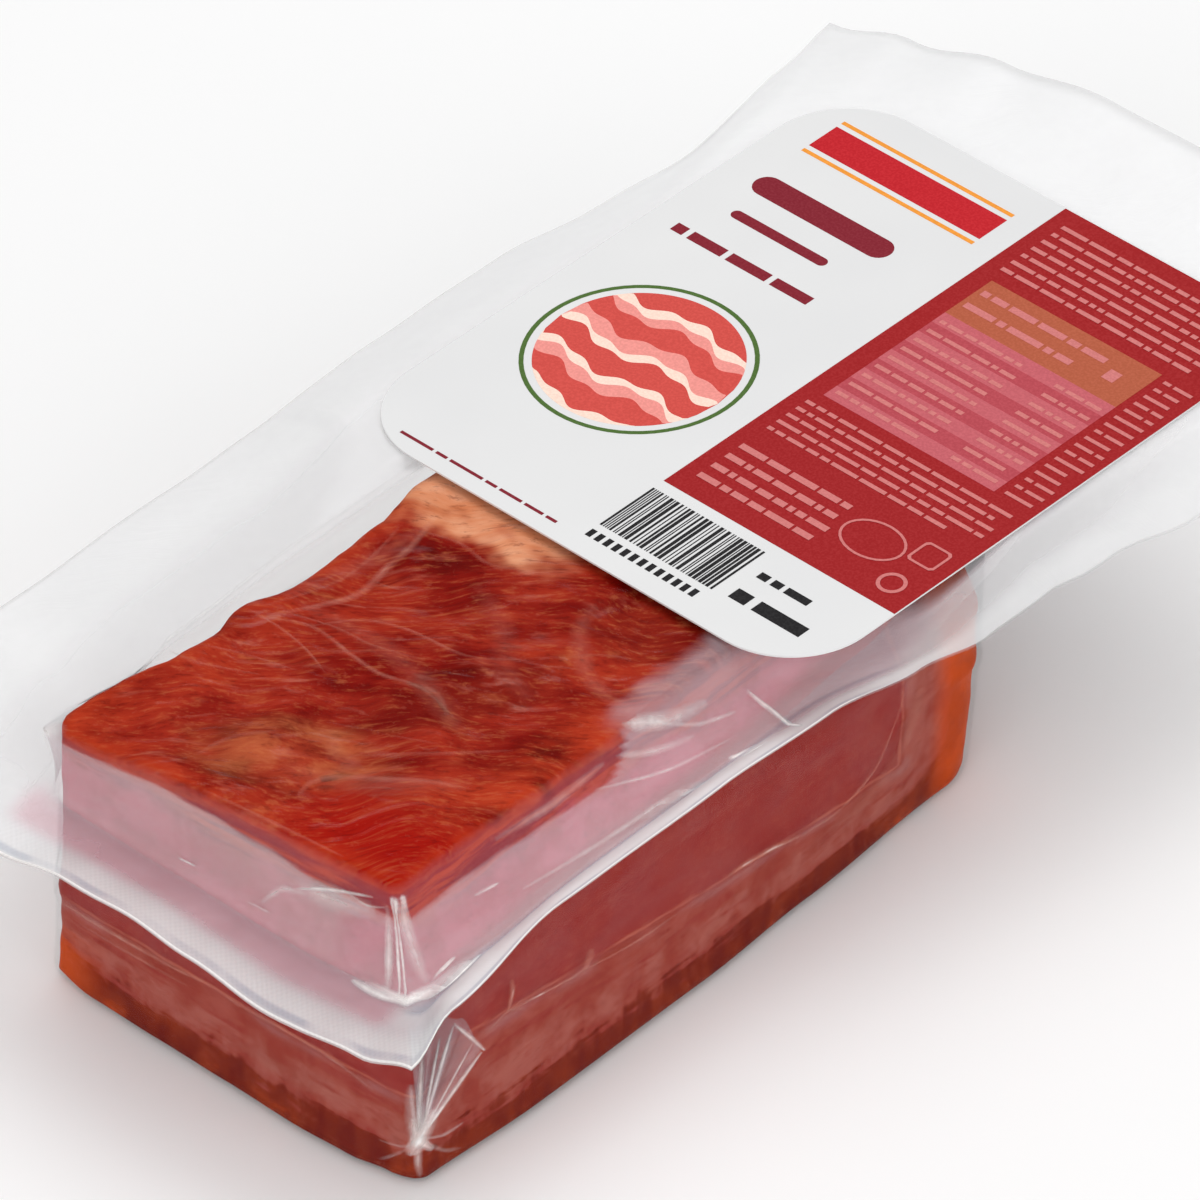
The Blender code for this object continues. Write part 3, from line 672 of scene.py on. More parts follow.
def upper_film_points():
    """Rings of film points from the middle of the block's top out to the cut edge."""
    crease = crease_outline()
    rings = []
    for step in range(1, TOP_RINGS + 1):
        share = step / TOP_RINGS
        ring = []
        for x, y in crease:
            x, y = x * share, y * share
            relief = 0.12 * ripple(x * 0.5 + y * 0.8, y * 0.5 - x * 0.7, 3.4, 5.0)
            height = top_height(x, y) + relief * (1.0 - smooth(y, 6.0, 12.0))
            bridge = smooth(x + ripple(x, y, 3.0, 6.0) * 1.4, 18.6, 21.4)
            bridge *= smooth(y, -9.0, -3.0) * (1.0 - smooth(y, 13, 17))
            ring.append(FilmPoint((x, y, height), 0.28 * bridge, cling=1.0 - bridge))
        rings.append(ring)
    web = web_rings()
    for step, ring in enumerate(tent_rings(web[0])):
        share = step / TENT_RINGS
        points = []
        for (x, y, z), end in zip(ring, web[0]):
            steep = smooth(top_height(x, y) - end[2], 2.0, 7.0)
            contact = contact_share(x, y)
            frosted = 0.05 + 0.32 * smooth(share, contact - 0.03, contact + 0.03)
            frosted += 0.04 * smooth(share, 0.7, 1.0)
            clear = 0.02 + 0.48 * smooth(share, 0.0, 0.5)
            points.append(FilmPoint((x, y, z), clear + (frosted - clear) * steep))
        rings.append(points)
    for step, ring in enumerate(web):
        share = step / WEB_RINGS
        points = []
        for x, y, z in ring:
            front = smooth(-y, 46.0, 50.0)
            outer = smooth(share, 0.25 + 0.2 * front, 0.75 + 0.1 * front)
            right = smooth(x, 20.0, 26.0) * (1.0 - front) * (1.0 - smooth(y, 8.0, 14.0))
            milky = 0.42 + 0.10 * front * smooth(share, 0.0, 0.25) + (0.22 - 0.10 * front) * outer
            milky += 0.14 * right * smooth(share, 0.02, 0.3)
            points.append(FilmPoint((x, y, z), milky, seal=share))
        rings.append(points)
    for ring in rings[TOP_RINGS - 4:]:
        for point in ring:
            fold_point(point, TENT_FOLDS, (0.35, -0.45, 0.6))
    return rings


def fold_point(point, folds, direction):
    """Raise a film point where a fold runs, and mark its gleam."""
    x, y, z = point.place
    outward = Vector((direction[0] if x > 0 else -direction[0], direction[1], direction[2])).normalized()
    for start, end, width, height in folds:
        if abs(x - start[0]) > 20 or abs(y - start[1]) > 20:
            continue
        share = near_fold(point.place, start, end, width)
        point.gleam = max(point.gleam, share)
        x, y, z = Vector((x, y, z)) + outward * share * height * 0.6
    point.place = (x, y, z)


def wall_point(foot, top, share):
    """Point of the pocket's wall at a share of its height, with a ledge standing out."""
    x, y = spread_out(*between(foot, top[:2], share), (1.0 - share) ** 3)
    height = top[2] * share
    ledge = exp(-((height - ledge_height(y)) / LEDGE_ROUND) ** 2)
    swell = (WALL_SWELL * sin(pi * share) + LEDGE_STAND * ledge) / hypot(x, y / 1.7)
    return x * (1.0 + swell), y * (1.0 + swell * 0.6), height


def lower_film_points():
    """Rings of film points from the cut edge in below the rim and down the pocket to the foot."""
    rings = []
    for step, ring in reversed(list(enumerate(web_rings()))):
        rings.append([FilmPoint((x, y, z - WEB_GAP), 0.20, seal=step / WEB_RINGS) for x, y, z in ring])
    tops, foot = pocket_tops(), wall_outline()
    for step in range(WALL_RINGS + 1):
        share = 1.0 - step / WALL_RINGS * (1.0 - FOOT_ROUND / SEAL_LEVEL)
        ring = []
        for below, top in zip(foot, tops):
            x, y, z = wall_point(below, top, share)
            depth = band_depth(y, z)
            # The faint milky line along the ledge, broken up, is a painted highlight of the formed ledge.
            broken = smooth(ripple(x + y, z * 2.0, 7.0, 2.2), -0.3, 0.3)
            haze = 0.015 + 0.1 * exp(-((depth - 7.6) / 0.7) ** 2) * broken + 0.1 * smooth(share, 0.95, 1.0)
            ring.append(FilmPoint((x, y, max(z, FOOT_ROUND)), haze))
        rings.append(ring)
    for inset, rise in foot_steps():
        rings.append([FilmPoint((x, y, rise + 0.02), 0.02) for x, y in foot_outline(inset)])
    for share in (0.9, 0.7, 0.45, 0.2):
        rings.append([FilmPoint((x * share, y * share, 0.02), 0.05) for x, y in foot_outline(FOOT_ROUND)])
    for ring in rings[WEB_RINGS + 1:]:
        for point in ring:
            fold_point(point, POCKET_FOLDS, (0.7, -0.7, 0.0))
    return rings


def pleat_points():
    """Rows of the clear pleat below the rim's front right corner, from the rim down to its tip."""
    top = [(29.4, -50.6, 25.6), (31.0, -49.4, 25.9), (32.6, -45.4, 26.2), (31.7, -40.9, 17.9)]
    tip = (30.0, -49.6, 8.5)
    rows = []
    for row in range(25):
        drop = row / 24
        points = []
        for step in range(37):
            share = step / 36 * (len(top) - 1)
            leg = min(int(share), len(top) - 2)
            x, y, z = between(between(top[leg], top[leg + 1], share - leg), tip, drop)
            pleat = sin(step / 36 * 7.0 * pi)
            x, y = x + 0.55 * pleat * (1.0 - drop), y - 0.35 * pleat * (1.0 - drop)
            ridge = max(0.0, pleat) ** 6 * smooth(ripple(step, row * 0.4, 3.0, 4.4), -0.5, 0.3)
            edge = smooth(step, 33.5, 36.0)
            haze = 0.18 + 0.34 * smooth(drop, 0.5, 1.0)
            points.append(FilmPoint((x, y, z), haze, gleam=max(0.4 * ridge, 0.4 * edge)))
        rows.append(points)
    return rows


def meat_top_outline():
    """Uneven edge of the meat's top."""
    points = []
    for x, y in top_outline(-0.3):
        if x < 0:
            x += (along(MEAT_LEFT_EDGE, y) + BLOCK_WIDTH / 2 - LEAN_LEFT) * smooth(-x, 5.0, 24.0)
        rough = 0.35 * ripple(x, y, 3.1, 9.0) - 0.15
        points.append((x * (1.0 + rough / 30.0), y * (1.0 + rough / 60.0)))
    return points


def along_fibres(x, y, bend):
    """Places along and across the muscle fibres, of numbers or of shader sockets."""
    return (x * FIBRE_LENGTHWAYS + y * FIBRE_ACROSS + bend,
            y * FIBRE_LENGTHWAYS - x * FIBRE_ACROSS + bend)


def fibre_height(x, y):
    """Grooves of the muscle fibres on the top, which run from the left rear to the right front."""
    length, across = along_fibres(x, y, 5.0 * ripple(x, y, 26.0, 0.4))
    coarse = noise.noise(Vector((length / 12.0, across / 2.6, 2.0)))
    fine = noise.noise(Vector((length / 5.0, across / 0.9, 7.0)))
    return 0.09 * coarse + 0.03 * fine


def meat_points():
    """Rings of the block from the middle of its top round to the middle of its underside."""
    outline = meat_top_outline()
    rings = []
    for step in range(1, TOP_RINGS + 1):
        share = step / TOP_RINGS
        ring = []
        for x, y in outline:
            x, y = x * share, y * share
            edge = 0.35 * smooth(share, 0.955, 1.0)
            ring.append((x, y, top_height(x, y) - MEAT_INSET - 0.3 + fibre_height(x, y) - edge))
        rings.append(ring)
    tops, foot = pocket_tops(), wall_outline()
    shrink_x, shrink_y = 1.0 - MEAT_INSET / SIDE_AWAY, 1.0 - MEAT_INSET / END_AWAY
    bends = []
    for below, top in zip(foot, tops):
        x, y, z = wall_point(below, top, min(WALL_BEND, top[2] - 0.5) / top[2])
        bends.append((x * shrink_x, y * shrink_y, z))
    for step in range(1, 16):
        share = step / 15
        ring = []
        for high, low in zip(rings[TOP_RINGS - 1], bends):
            x, y, z = between(high, low, share)
            rough = 0.12 * ripple(x + y, z, 2.2, 4.0) * sin(pi * share)
            ring.append((x * (1.0 + rough / SIDE_AWAY), y * (1.0 + rough / END_AWAY), z))
        rings.append(ring)
    for step in range(1, 28):
        height = WALL_BEND + (FOOT_ROUND - WALL_BEND) * step / 27
        ring = []
        for below, top in zip(foot, tops):
            x, y, z = wall_point(below, top, height / top[2])
            rough = 0.16 * ripple(x + y, z, 3.0, 4.0) - 0.1
            x, y = x * shrink_x * (1.0 + rough / SIDE_AWAY), y * shrink_y * (1.0 + rough / END_AWAY)
            ring.append((x, y, z))
        rings.append(ring)
    for inset, rise in foot_steps():
        rings.append([(x, y, rise + 0.25) for x, y in foot_outline(inset + MEAT_INSET)])
    for share in (0.85, 0.6, 0.3):
        rings.append([(x * share, y * share, 0.25) for x, y in foot_outline(FOOT_ROUND + MEAT_INSET)])
    return rings


def in_row(point):
    """Metres in the pack's own frame of a place in millimetres from the block's foot."""
    away = Vector((point[0] - SHEET_LEFT, point[1] - SHEET_FRONT, point[2]))
    return away * MM + Vector((POUCH_LOW.x, POUCH_LOW.y, 0.0))


def new_piece(name, vertices, faces, material):
    mesh = bpy.data.meshes.new(name)
    mesh.from_pydata([tuple(vertex) for vertex in vertices], [], faces)
    mesh.validate()
    mesh.shade_smooth()
    mesh.materials.append(material)
    piece = bpy.data.objects.new(name, mesh)
    bpy.context.scene.collection.objects.link(piece)
    return piece


def loft(name, rings, material, close_first, close_last):
    """Skin through rings of equal count, with a fan at each end that is closed."""
    count = len(rings[0])
    vertices = [in_row(point) for ring in rings for point in ring]
    faces = []
    for row in range(len(rings) - 1):
        upper, lower = row * count, (row + 1) * count
        for i in range(count):
            k = (i + 1) % count
            faces.append((upper + i, lower + i, lower + k, upper + k))
    for closed, ring, turn in ((close_first, 0, 1), (close_last, len(rings) - 1, -1)):
        if not closed:
            continue
        start = ring * count
        vertices.append(sum(vertices[start:start + count], Vector()) / count)
        for i in range(count):
            faces.append((start + i, start + (i + 1) % count, len(vertices) - 1)[::turn])
    return new_piece(name, vertices, faces, material)


def give_values(piece, key, values):
    """Keep a value per point on a piece, with the last ones filled up from the first."""
    values += [values[0]] * (len(piece.data.vertices) - len(values))
    attribute = piece.data.attributes.new(key, "FLOAT", "POINT")
    attribute.data.foreach_set("value", values)


def finish_film(piece, rings, thickness):
    """Keep the film points' haze, seal, gleam and cling on a piece and make it a thin shell."""
    for key in ("haze", "seal", "gleam", "cling"):
        give_values(piece, key, [getattr(point, key) for ring in rings for point in ring])
    shell = piece.modifiers.new("Film thickness", "SOLIDIFY")
    shell.thickness = thickness
    shell.offset = -1.0
    settle(piece, "sealed_pouch")


def film_piece(name, rings, material, close_first, close_last, thickness):
    """Thin shell through closed rings of film points."""
    piece = loft(name, [[point.place for point in ring] for ring in rings], material, close_first, close_last)
    finish_film(piece, rings, thickness)


class Wire:
    """A shader socket whose arithmetic adds Math nodes."""

    def __init__(self, graph, socket):
        self.graph = graph
        self.socket = socket

    def math(self, operation, *values):
        return self.graph.add("ShaderNodeMath", {"operation": operation}, values)

    def __add__(self, other):
        return self.math("ADD", self, other)

    def __sub__(self, other):
        return self.math("SUBTRACT", self, other)

    def __rsub__(self, other):
        return self.math("SUBTRACT", other, self)

    def __mul__(self, other):
        return self.math("MULTIPLY", self, other)

    def __pow__(self, other):
        return self.math("POWER", self, other)

    __radd__ = __add__
    __rmul__ = __mul__

    def sine(self):
        return self.math("SINE", self)

    def clamp(self):
        return self.graph.add("ShaderNodeClamp", {}, (self, 0.0, 1.0))

    def ramp(self, low, high):
        """Turn from 0 at low to 1 at high, smoothly."""
        settings = {"interpolation_type": "SMOOTHSTEP"}
        return self.graph.add("ShaderNodeMapRange", settings, (self, low, high, 0.0, 1.0))

    def most(self, other):
        return self.math("MAXIMUM", self, other)

    def band(self, centre, width, soft):
        """1 within a band of values about a centre, falling off over a soft edge."""
        away = self.math("ABSOLUTE", self - centre)
        return 1.0 - away.ramp(width, width + soft)


class Graph:
    """Node tree of one material."""

    def __init__(self, name):
        self.material = bpy.data.materials.new(name)
        self.material.use_nodes = True
        self.tree = self.material.node_tree
        self.shader = self.tree.nodes["Principled BSDF"]

    def add(self, kind, settings, values, output=0):
        """Add a node, give it its settings, then the values or links of its sockets."""
        node = self.tree.nodes.new(kind)
        for key, value in settings.items():
            if key == "stops":
                self.set_stops(node.color_ramp, value)
            else:
                setattr(node, key, value)
        pairs = values.items() if isinstance(values, dict) else enumerate(values)
        for key, value in pairs:
            self.give(self.find(node.inputs, key), value)
        return Wire(self, self.find(node.outputs, output))

    @staticmethod
    def find(sockets, key):
        if isinstance(key, int):
            return sockets[key]
        return next(socket for socket in sockets if key in (socket.identifier, socket.name))

    @staticmethod
    def set_stops(ramp, stops):
        while len(ramp.elements) < len(stops):
            ramp.elements.new(0.5)
        for element, (place, colour) in zip(ramp.elements, stops):
            element.position = place
            element.color = (*colour, 1.0)

    def give(self, socket, value):
        if isinstance(value, Wire):
            self.tree.links.new(value.socket, socket)
        elif socket.type == "RGBA":
            socket.default_value = (*value, 1.0)
        else:
            socket.default_value = value

    def place(self):
        """Coordinates in millimetres from the middle of the block's foot."""
        spot = self.add("ShaderNodeTexCoord", {}, (), "Object")
        foot = in_row((0.0, 0.0, 0.0))
        moved = self.add("ShaderNodeVectorMath", {"operation": "SUBTRACT"}, (spot, tuple(foot)))
        values = {"Vector": moved, "Scale": 1.0 / MM}
        return self.add("ShaderNodeVectorMath", {"operation": "SCALE"}, values)

    def split(self, vector):
        node = self.add("ShaderNodeSeparateXYZ", {}, (vector,))
        sockets = node.socket.node.outputs
        return [Wire(self, socket) for socket in sockets]

    def join(self, x, y, z):
        return self.add("ShaderNodeCombineXYZ", {}, (x, y, z))

    def noise(self, vector, scale, detail=2.0, roughness=0.5):
        values = {"Vector": vector, "Scale": scale, "Detail": detail, "Roughness": roughness}
        return self.add("ShaderNodeTexNoise", {}, values)

    def mark(self, name):
        return self.add("ShaderNodeAttribute", {"attribute_name": name}, (), "Fac")

    def blend(self, share, first, last):
        values = {"Factor_Float": share, "A_Color": first, "B_Color": last}
        return self.add("ShaderNodeMix", {"data_type": "RGBA"}, values, "Result_Color")

    def ramp(self, value, stops):
        return self.add("ShaderNodeValToRGB", {"stops": stops}, (value,))

    def bump(self, height, strength, distance):
        values = {"Height": height, "Strength": strength, "Distance": distance}
        return self.add("ShaderNodeBump", {}, values)

    def set(self, **values):
        for key, value in values.items():
            self.give(self.find(self.shader.inputs, key.replace("_", " ")), value)

    def let_through(self, cover):
        """Mix the surface with clearness, by a cover from 0 for clear to 1."""
        clear = self.add("ShaderNodeBsdfTransparent", {}, ())
        body = Wire(self, self.shader.outputs["BSDF"])
        mixed = self.add("ShaderNodeMixShader", {}, (cover, clear, body))
        output = next(node for node in self.tree.nodes if node.type == "OUTPUT_MATERIAL")
        self.tree.links.new(mixed.socket, output.inputs["Surface"])


def make_meat_material(colours):
    """Smoked meat: fibres and fat on top, deep red and brown bands on the sides with a painted highlight of
    the film's ledge, orange skin below.
    """
    graph = Graph("smoked_meat")
    place = graph.place()
    x, y, z = graph.split(place)
    length, across = along_fibres(x, y, graph.noise(place, 0.04, 2.0) * 18.0 - 9.0)
    fibres = graph.noise(graph.join(length * 0.08, across * 0.20, z * 0.2), 1.0, 3.0, 0.55)
    threads = graph.noise(graph.join(length * 0.15, across * 0.62, 3.0), 1.0, 3.0, 0.6)
    clouds = graph.noise(place, 0.07, 3.0, 0.6)

    def spot(centre, reach, width, turn):
        """1 within a soft uneven oval that lies at a turn in degrees."""
        c, s = cos(radians(turn)), sin(radians(turn))
        along_it = ((x - centre[0]) * c + (y - centre[1]) * s) * (1.0 / reach)
        beside_it = ((y - centre[1]) * c - (x - centre[0]) * s) * (1.0 / width)
        away = along_it * along_it + beside_it * beside_it + (fibres - 0.5) * 2.2
        return 1.0 - away.ramp(0.35, 1.25)

    tone = fibres * 0.40 + clouds * 0.54 + threads * 0.06
    top = graph.ramp(tone, [(0.34, colours.smoked), (0.43, colours.lean_dark), (0.53, colours.lean),
                            (0.70, colours.lean_bright)])
    belt = spot((4.5, -15.0), 17.0, 5.5, 66.0).most(spot((15.0, 11.5), 11.0, 9.0, 30.0))
    top = graph.blend(belt * 0.4, top, colours.smoked)
    left_edge = 1.0 - (x - clouds * 6.0).ramp(-30.0, -23.5)
    front_edge = (1.0 - (y + clouds * 10.0 - x * 0.1).ramp(-43.0, -36.0)) * (1.0 - x.ramp(4.0, 14.0))
    top = graph.blend(left_edge.most(front_edge) * fibres.ramp(0.34, 0.62) * 0.7, top, colours.lean_bright)
    corner = x.ramp(-2.0, 12.0) * (1.0 - (y - x * 0.35).ramp(-44.0, -33.0))
    top = graph.blend(corner * 0.85, top, colours.lean_red)
    tan = clouds.ramp(0.36, 0.60) * 0.6 + threads.ramp(0.35, 0.65) * 0.4
    tan = graph.blend(tan, colours.fat_orange, colours.fat)
    fat_patch = (y - x * 0.25 + (clouds - 0.5) * 40.0).ramp(7.0, 15.0)
    fat_patch = fat_patch * (1.0 - (x + fibres * 8.0).ramp(-5.0, 6.0))
    top = graph.blend(fat_patch * 0.9, top, tan)
    right_edge = x.ramp(14.0, 20.0) * (1.0 - y.ramp(-8.0, 0.0)) * (1.0 - corner)
    top = graph.blend(right_edge * fibres.ramp(0.26, 0.52) * 0.8, top, colours.lean_bright)
    marbling = graph.noise(graph.join(length * 0.12, across * 0.24, 8.0), 1.0, 4.0, 0.6)
    swirl = spot((-3.4, -35.0), 13.0, 7.0, 28.0) * (0.10 + marbling.ramp(0.42, 0.60) * 0.26)
    top = graph.blend(swirl, top, colours.fat_orange)
    top = graph.blend(marbling.ramp(0.54, 0.74) * clouds.ramp(0.42, 0.62) * 0.5, top, colours.fat_orange)
    pale = threads.ramp(0.52, 0.76) * graph.noise(place, 0.09, 2.0).ramp(0.45, 0.62) * (1.0 - corner * 0.8)
    top = graph.blend(pale * 0.34, top, colours.fat_streak_and_ledge_highlight)
    grit = graph.noise(place, 0.9, 3.0, 0.6)
    top = graph.blend(grit.ramp(0.60, 0.72) * 0.12, top, colours.fat_streak_and_ledge_highlight)
    fine = graph.noise(graph.join(length * 0.40, across * 1.3, z * 0.5), 1.0, 5.0, 0.7)
    top = graph.blend(fine.ramp(0.50, 0.70) * 0.26, top, colours.fat_orange)
    top = graph.blend((1.0 - fine.ramp(0.32, 0.48)) * 0.45, top, colours.smoked)
    top = graph.blend(graph.mark("rim") * fibres.ramp(0.40, 0.60) * 0.45, top, colours.lean_bright)

    around = x * 0.8 + y
    grain = graph.noise(graph.join(around * 0.10, z * 0.8, 5.0), 1.0, 4.0, 0.6)
    mottle = graph.noise(place, 0.14, 4.0, 0.6)
    strokes = graph.noise(graph.join(around * 0.55, z * 0.10, 1.0), 1.0, 3.0, 0.6)
    depth = graph.mark("depth")
    ragged = (grain - 0.5) * 8.0 + (mottle - 0.5) * 5.0 + (strokes - 0.5) * 3.5
    low = depth + 5.0 + ragged * (1.0 - y.ramp(30.0, 42.0) * 0.7)
    lean = grain.ramp(0.30, 0.75) * 0.4 + mottle.ramp(0.4, 0.6) * 0.4
    side = graph.blend(lean, colours.lean_deep, colours.lean_side)
    pink = graph.blend(mottle.ramp(0.4, 0.62), colours.lean_pink, colours.lean_rose)
    side = graph.blend(graph.mark("above").ramp(-3.0, -0.5), side, pink)
    streaks = graph.noise(graph.join(around * 0.06, z * 0.9, 2.0), 1.0, 3.0, 0.6)
    near_top = graph.blend(streaks.ramp(0.42, 0.58), colours.lean_mauve, colours.lean_edge)
    side = graph.blend((z + (mottle - 0.5) * 6.0).ramp(33.0, 36.0), side, near_top)
    below = graph.blend(mottle.ramp(0.38, 0.62), colours.band_brown, colours.band_mauve)
    below = graph.blend(grain.ramp(0.50, 0.62) * 0.45, below, colours.lean_deep)
    hem = low.band(7.6, 0.8, 1.6) * mottle.ramp(0.35, 0.6)
    hem = hem.most(depth.band(5.6, 1.0, 1.6) * y.ramp(30.0, 38.0))
    below = graph.blend(hem * 0.45, below, colours.band_pale)
    side = graph.blend(1.0 - (depth + (mottle - 0.5) * 2.0).ramp(7.2, 8.2), side, below)
    # Painted highlight: a thin broken pale line of the film's ledge, drawn on the meat's side.
    ledge = depth.band(8.05, 0.10, 0.22) * grain.ramp(0.34, 0.58)
    side = graph.blend(ledge * 0.5, side, colours.fat_streak_and_ledge_highlight)
    rust = mottle.ramp(0.38, 0.62) * 0.6 + strokes.ramp(0.4, 0.6) * 0.3
    foot = graph.blend(rust, colours.smoked_side, colours.band_rust)
    side = graph.blend(1.0 - low.ramp(4.2, 5.6), side, foot)
    end = y.ramp(42.0, 46.5) * (x + grain * 14.0).ramp(8.0, 30.0)
    end = end * (0.75 + mottle.ramp(0.35, 0.6) * 0.25)
    left = (1.0 - x.ramp(-28.0, -18.0)) * (1.0 - low.ramp(3.0, 10.0)) * (1.0 - y.ramp(-48.0, -30.0))
    glow = (mottle.ramp(0.54, 0.66) * (1.0 - low.ramp(1.0, 3.0)) * 0.7).most(end).most(left)
    side = graph.blend(glow * 0.85, side, colours.rind)
    flecks = graph.noise(graph.join(x * 0.9, y * 0.9, z * 1.6), 1.0, 4.0, 0.65)
    side = graph.blend(flecks.ramp(0.55, 0.7) * 0.16, side, colours.fat_streak_and_ledge_highlight)
    side = graph.blend((1.0 - flecks.ramp(0.32, 0.46)) * 0.25, side, colours.smoked_side)
    colour = graph.blend(graph.mark("upper"), side, top)
    normal = graph.bump(fibres * 0.7 + threads * 0.3, 0.35, 0.5 * MM)
    wet = threads.ramp(0.54, 0.68) * clouds.ramp(0.42, 0.58) * graph.mark("upper") * 0.25
    graph.set(Base_Color=colour, Roughness=0.5 - fibres * 0.14, Normal=normal, Coat_Weight=wet)
    graph.set(Coat_Roughness=0.16, IOR=1.40, Specular_IOR_Level=0.03)
    return graph.material


def make_film_material(name, colours, fold_highlight_share):
    """Clear film: haze, the milky knurled seal, folds and the cut edge bright as painted highlights, painted
    shade along the rim and pale wisps of painted sheen, mixed with clearness.
    """
    graph = Graph(name)
    place = graph.place()
    x, y, z = graph.split(place)
    haze, seal, gleam, cling = [graph.mark(key) for key in ("haze", "seal", "gleam", "cling")]
    clouds = graph.noise(place, 0.09, 3.0)
    front = (1.0 - y.ramp(-51.0, -47.0)) * x.ramp(-33.0, -29.0)
    beside = (x.ramp(14.0, 18.0) * (1.0 - x.ramp(33.5, 36.0)) * (1.0 - y.ramp(56.0, 66.0))).most(front)
    joint = front * (1.0 - seal.ramp(0.35, 0.62)) * haze.ramp(0.40, 0.44) * (1.0 - x.ramp(26.0, 30.0))
    knurl = (x * KNURL_TURNS).sine() * (y * KNURL_TURNS).sine() * seal.ramp(0.35, 0.6) * front
    # Painted highlight: a bright line along the film's cut edge beside the block.
    cut = seal.ramp(0.96, 0.98) * beside
    # Painted shade: a blue-grey line just inside the cut edge and a fold shadow along the rim's inner side.
    outer_shade = seal.band(0.90, 0.02, 0.06) * clouds.ramp(0.35, 0.6)
    shade = outer_shade.most(seal.band(0.16, 0.03, 0.10) * x.ramp(28.5, 30.5)) * beside
    sheen = graph.noise(graph.join((x + y) * 0.05, z * 0.42 - x * 0.1, 4.0), 1.0, 4.0, 0.6)
    # Painted highlights: the folds by their gleam and the cut edge, drawn near white.
    folds = (gleam.ramp(0.2, 0.85) * fold_highlight_share).most(cut * 0.9)
    length, across = along_fibres(x, y, graph.noise(place, 0.06, 2.0) * 16.0)
    wrinkles = graph.noise(graph.join(length * 0.11, across * 0.8, z * 0.3), 1.0, 5.0, 0.62)
    # Painted sheen: pale wisps along the film's wrinkles where it clings to the meat.
    wisps = wrinkles.ramp(0.55, 0.72) * clouds.ramp(0.44, 0.62) * cling
    lines = folds * (1.0 - cling * 0.70)
    soft = haze * ((clouds - 0.5) * 0.25 + (sheen - 0.5) * beside * (1.0 - seal.ramp(0.3, 0.6)) * 0.8)
    veil = (haze + soft + knurl * 0.014 + wisps * 0.06 + lines * 0.5).clamp()
    cover = 1.0 - (1.0 - veil * 0.985) ** (1.0 / SHELL_LAYERS)
    tint = graph.blend(beside, colours.film_tint, colours.film_rosy)
    colour = graph.blend(haze.ramp(0.34, 0.60), tint, colours.film_white)
    colour = graph.blend(joint, colour, colours.film_pink)
    colour = graph.blend(shade * 0.55, colour, colours.film_shade)
    colour = graph.blend(folds, colour, colours.fold_highlight)
    normal = graph.bump(wrinkles * 0.6 + knurl * 0.15, 0.5, 0.35 * MM)
    graph.set(Base_Color=colour, Roughness=0.24 + haze * 0.2, Normal=normal, IOR=1.46)
    graph.let_through(cover)
    return graph.material


def make_crease_highlight_material(colours):
    """Painted highlights along the films' creases: faint ones take on the meat's colour, strong ones are
    white.
    """
    graph = Graph("crease_highlight_film")
    place = graph.place()
    haze = graph.mark("haze")
    broken = graph.noise(place, 0.9, 3.0, 0.6)
    bright = haze.ramp(0.25, 0.6).most(graph.mark("gleam"))
    colour = graph.blend(bright, colours.crease_highlight_tint, colours.fold_highlight)
    graph.set(Base_Color=colour, Roughness=0.3 + broken * 0.1, Specular_IOR_Level=0.2)
    graph.let_through((haze * (0.5 + broken)).clamp())
    return graph.material


def make_paper_material(colours):
    graph = Graph("coated_paper")
    place = graph.place()
    fibre = graph.noise(place, 2.4, 3.0, 0.6)
    cockle = graph.noise(place, 0.035, 2.0)
    colour = graph.blend(cockle.ramp(0.3, 0.7) * 0.5, colours.paper, colours.paper_shade)
    normal = graph.bump(cockle * 6.0 + fibre * 0.02, 0.4, 0.5 * MM)
    graph.set(Base_Color=colour, Roughness=0.48 + fibre * 0.08, Normal=normal, Specular_IOR_Level=0.2)
    return graph.material


def make_ink_material(name, colour):
    """Printed ink, a little uneven like the paper below it."""
    graph = Graph(name)
    place = graph.place()
    grain = graph.noise(place, 3.0, 2.0)
    lighter = tuple(min(1.0, value * 1.12 + 0.01) for value in colour)
    shade = graph.blend(grain.ramp(0.35, 0.7), tuple(colour), lighter)
    graph.set(Base_Color=shade, Roughness=0.5 + grain * 0.08, Specular_IOR_Level=0.1)
    return graph.material


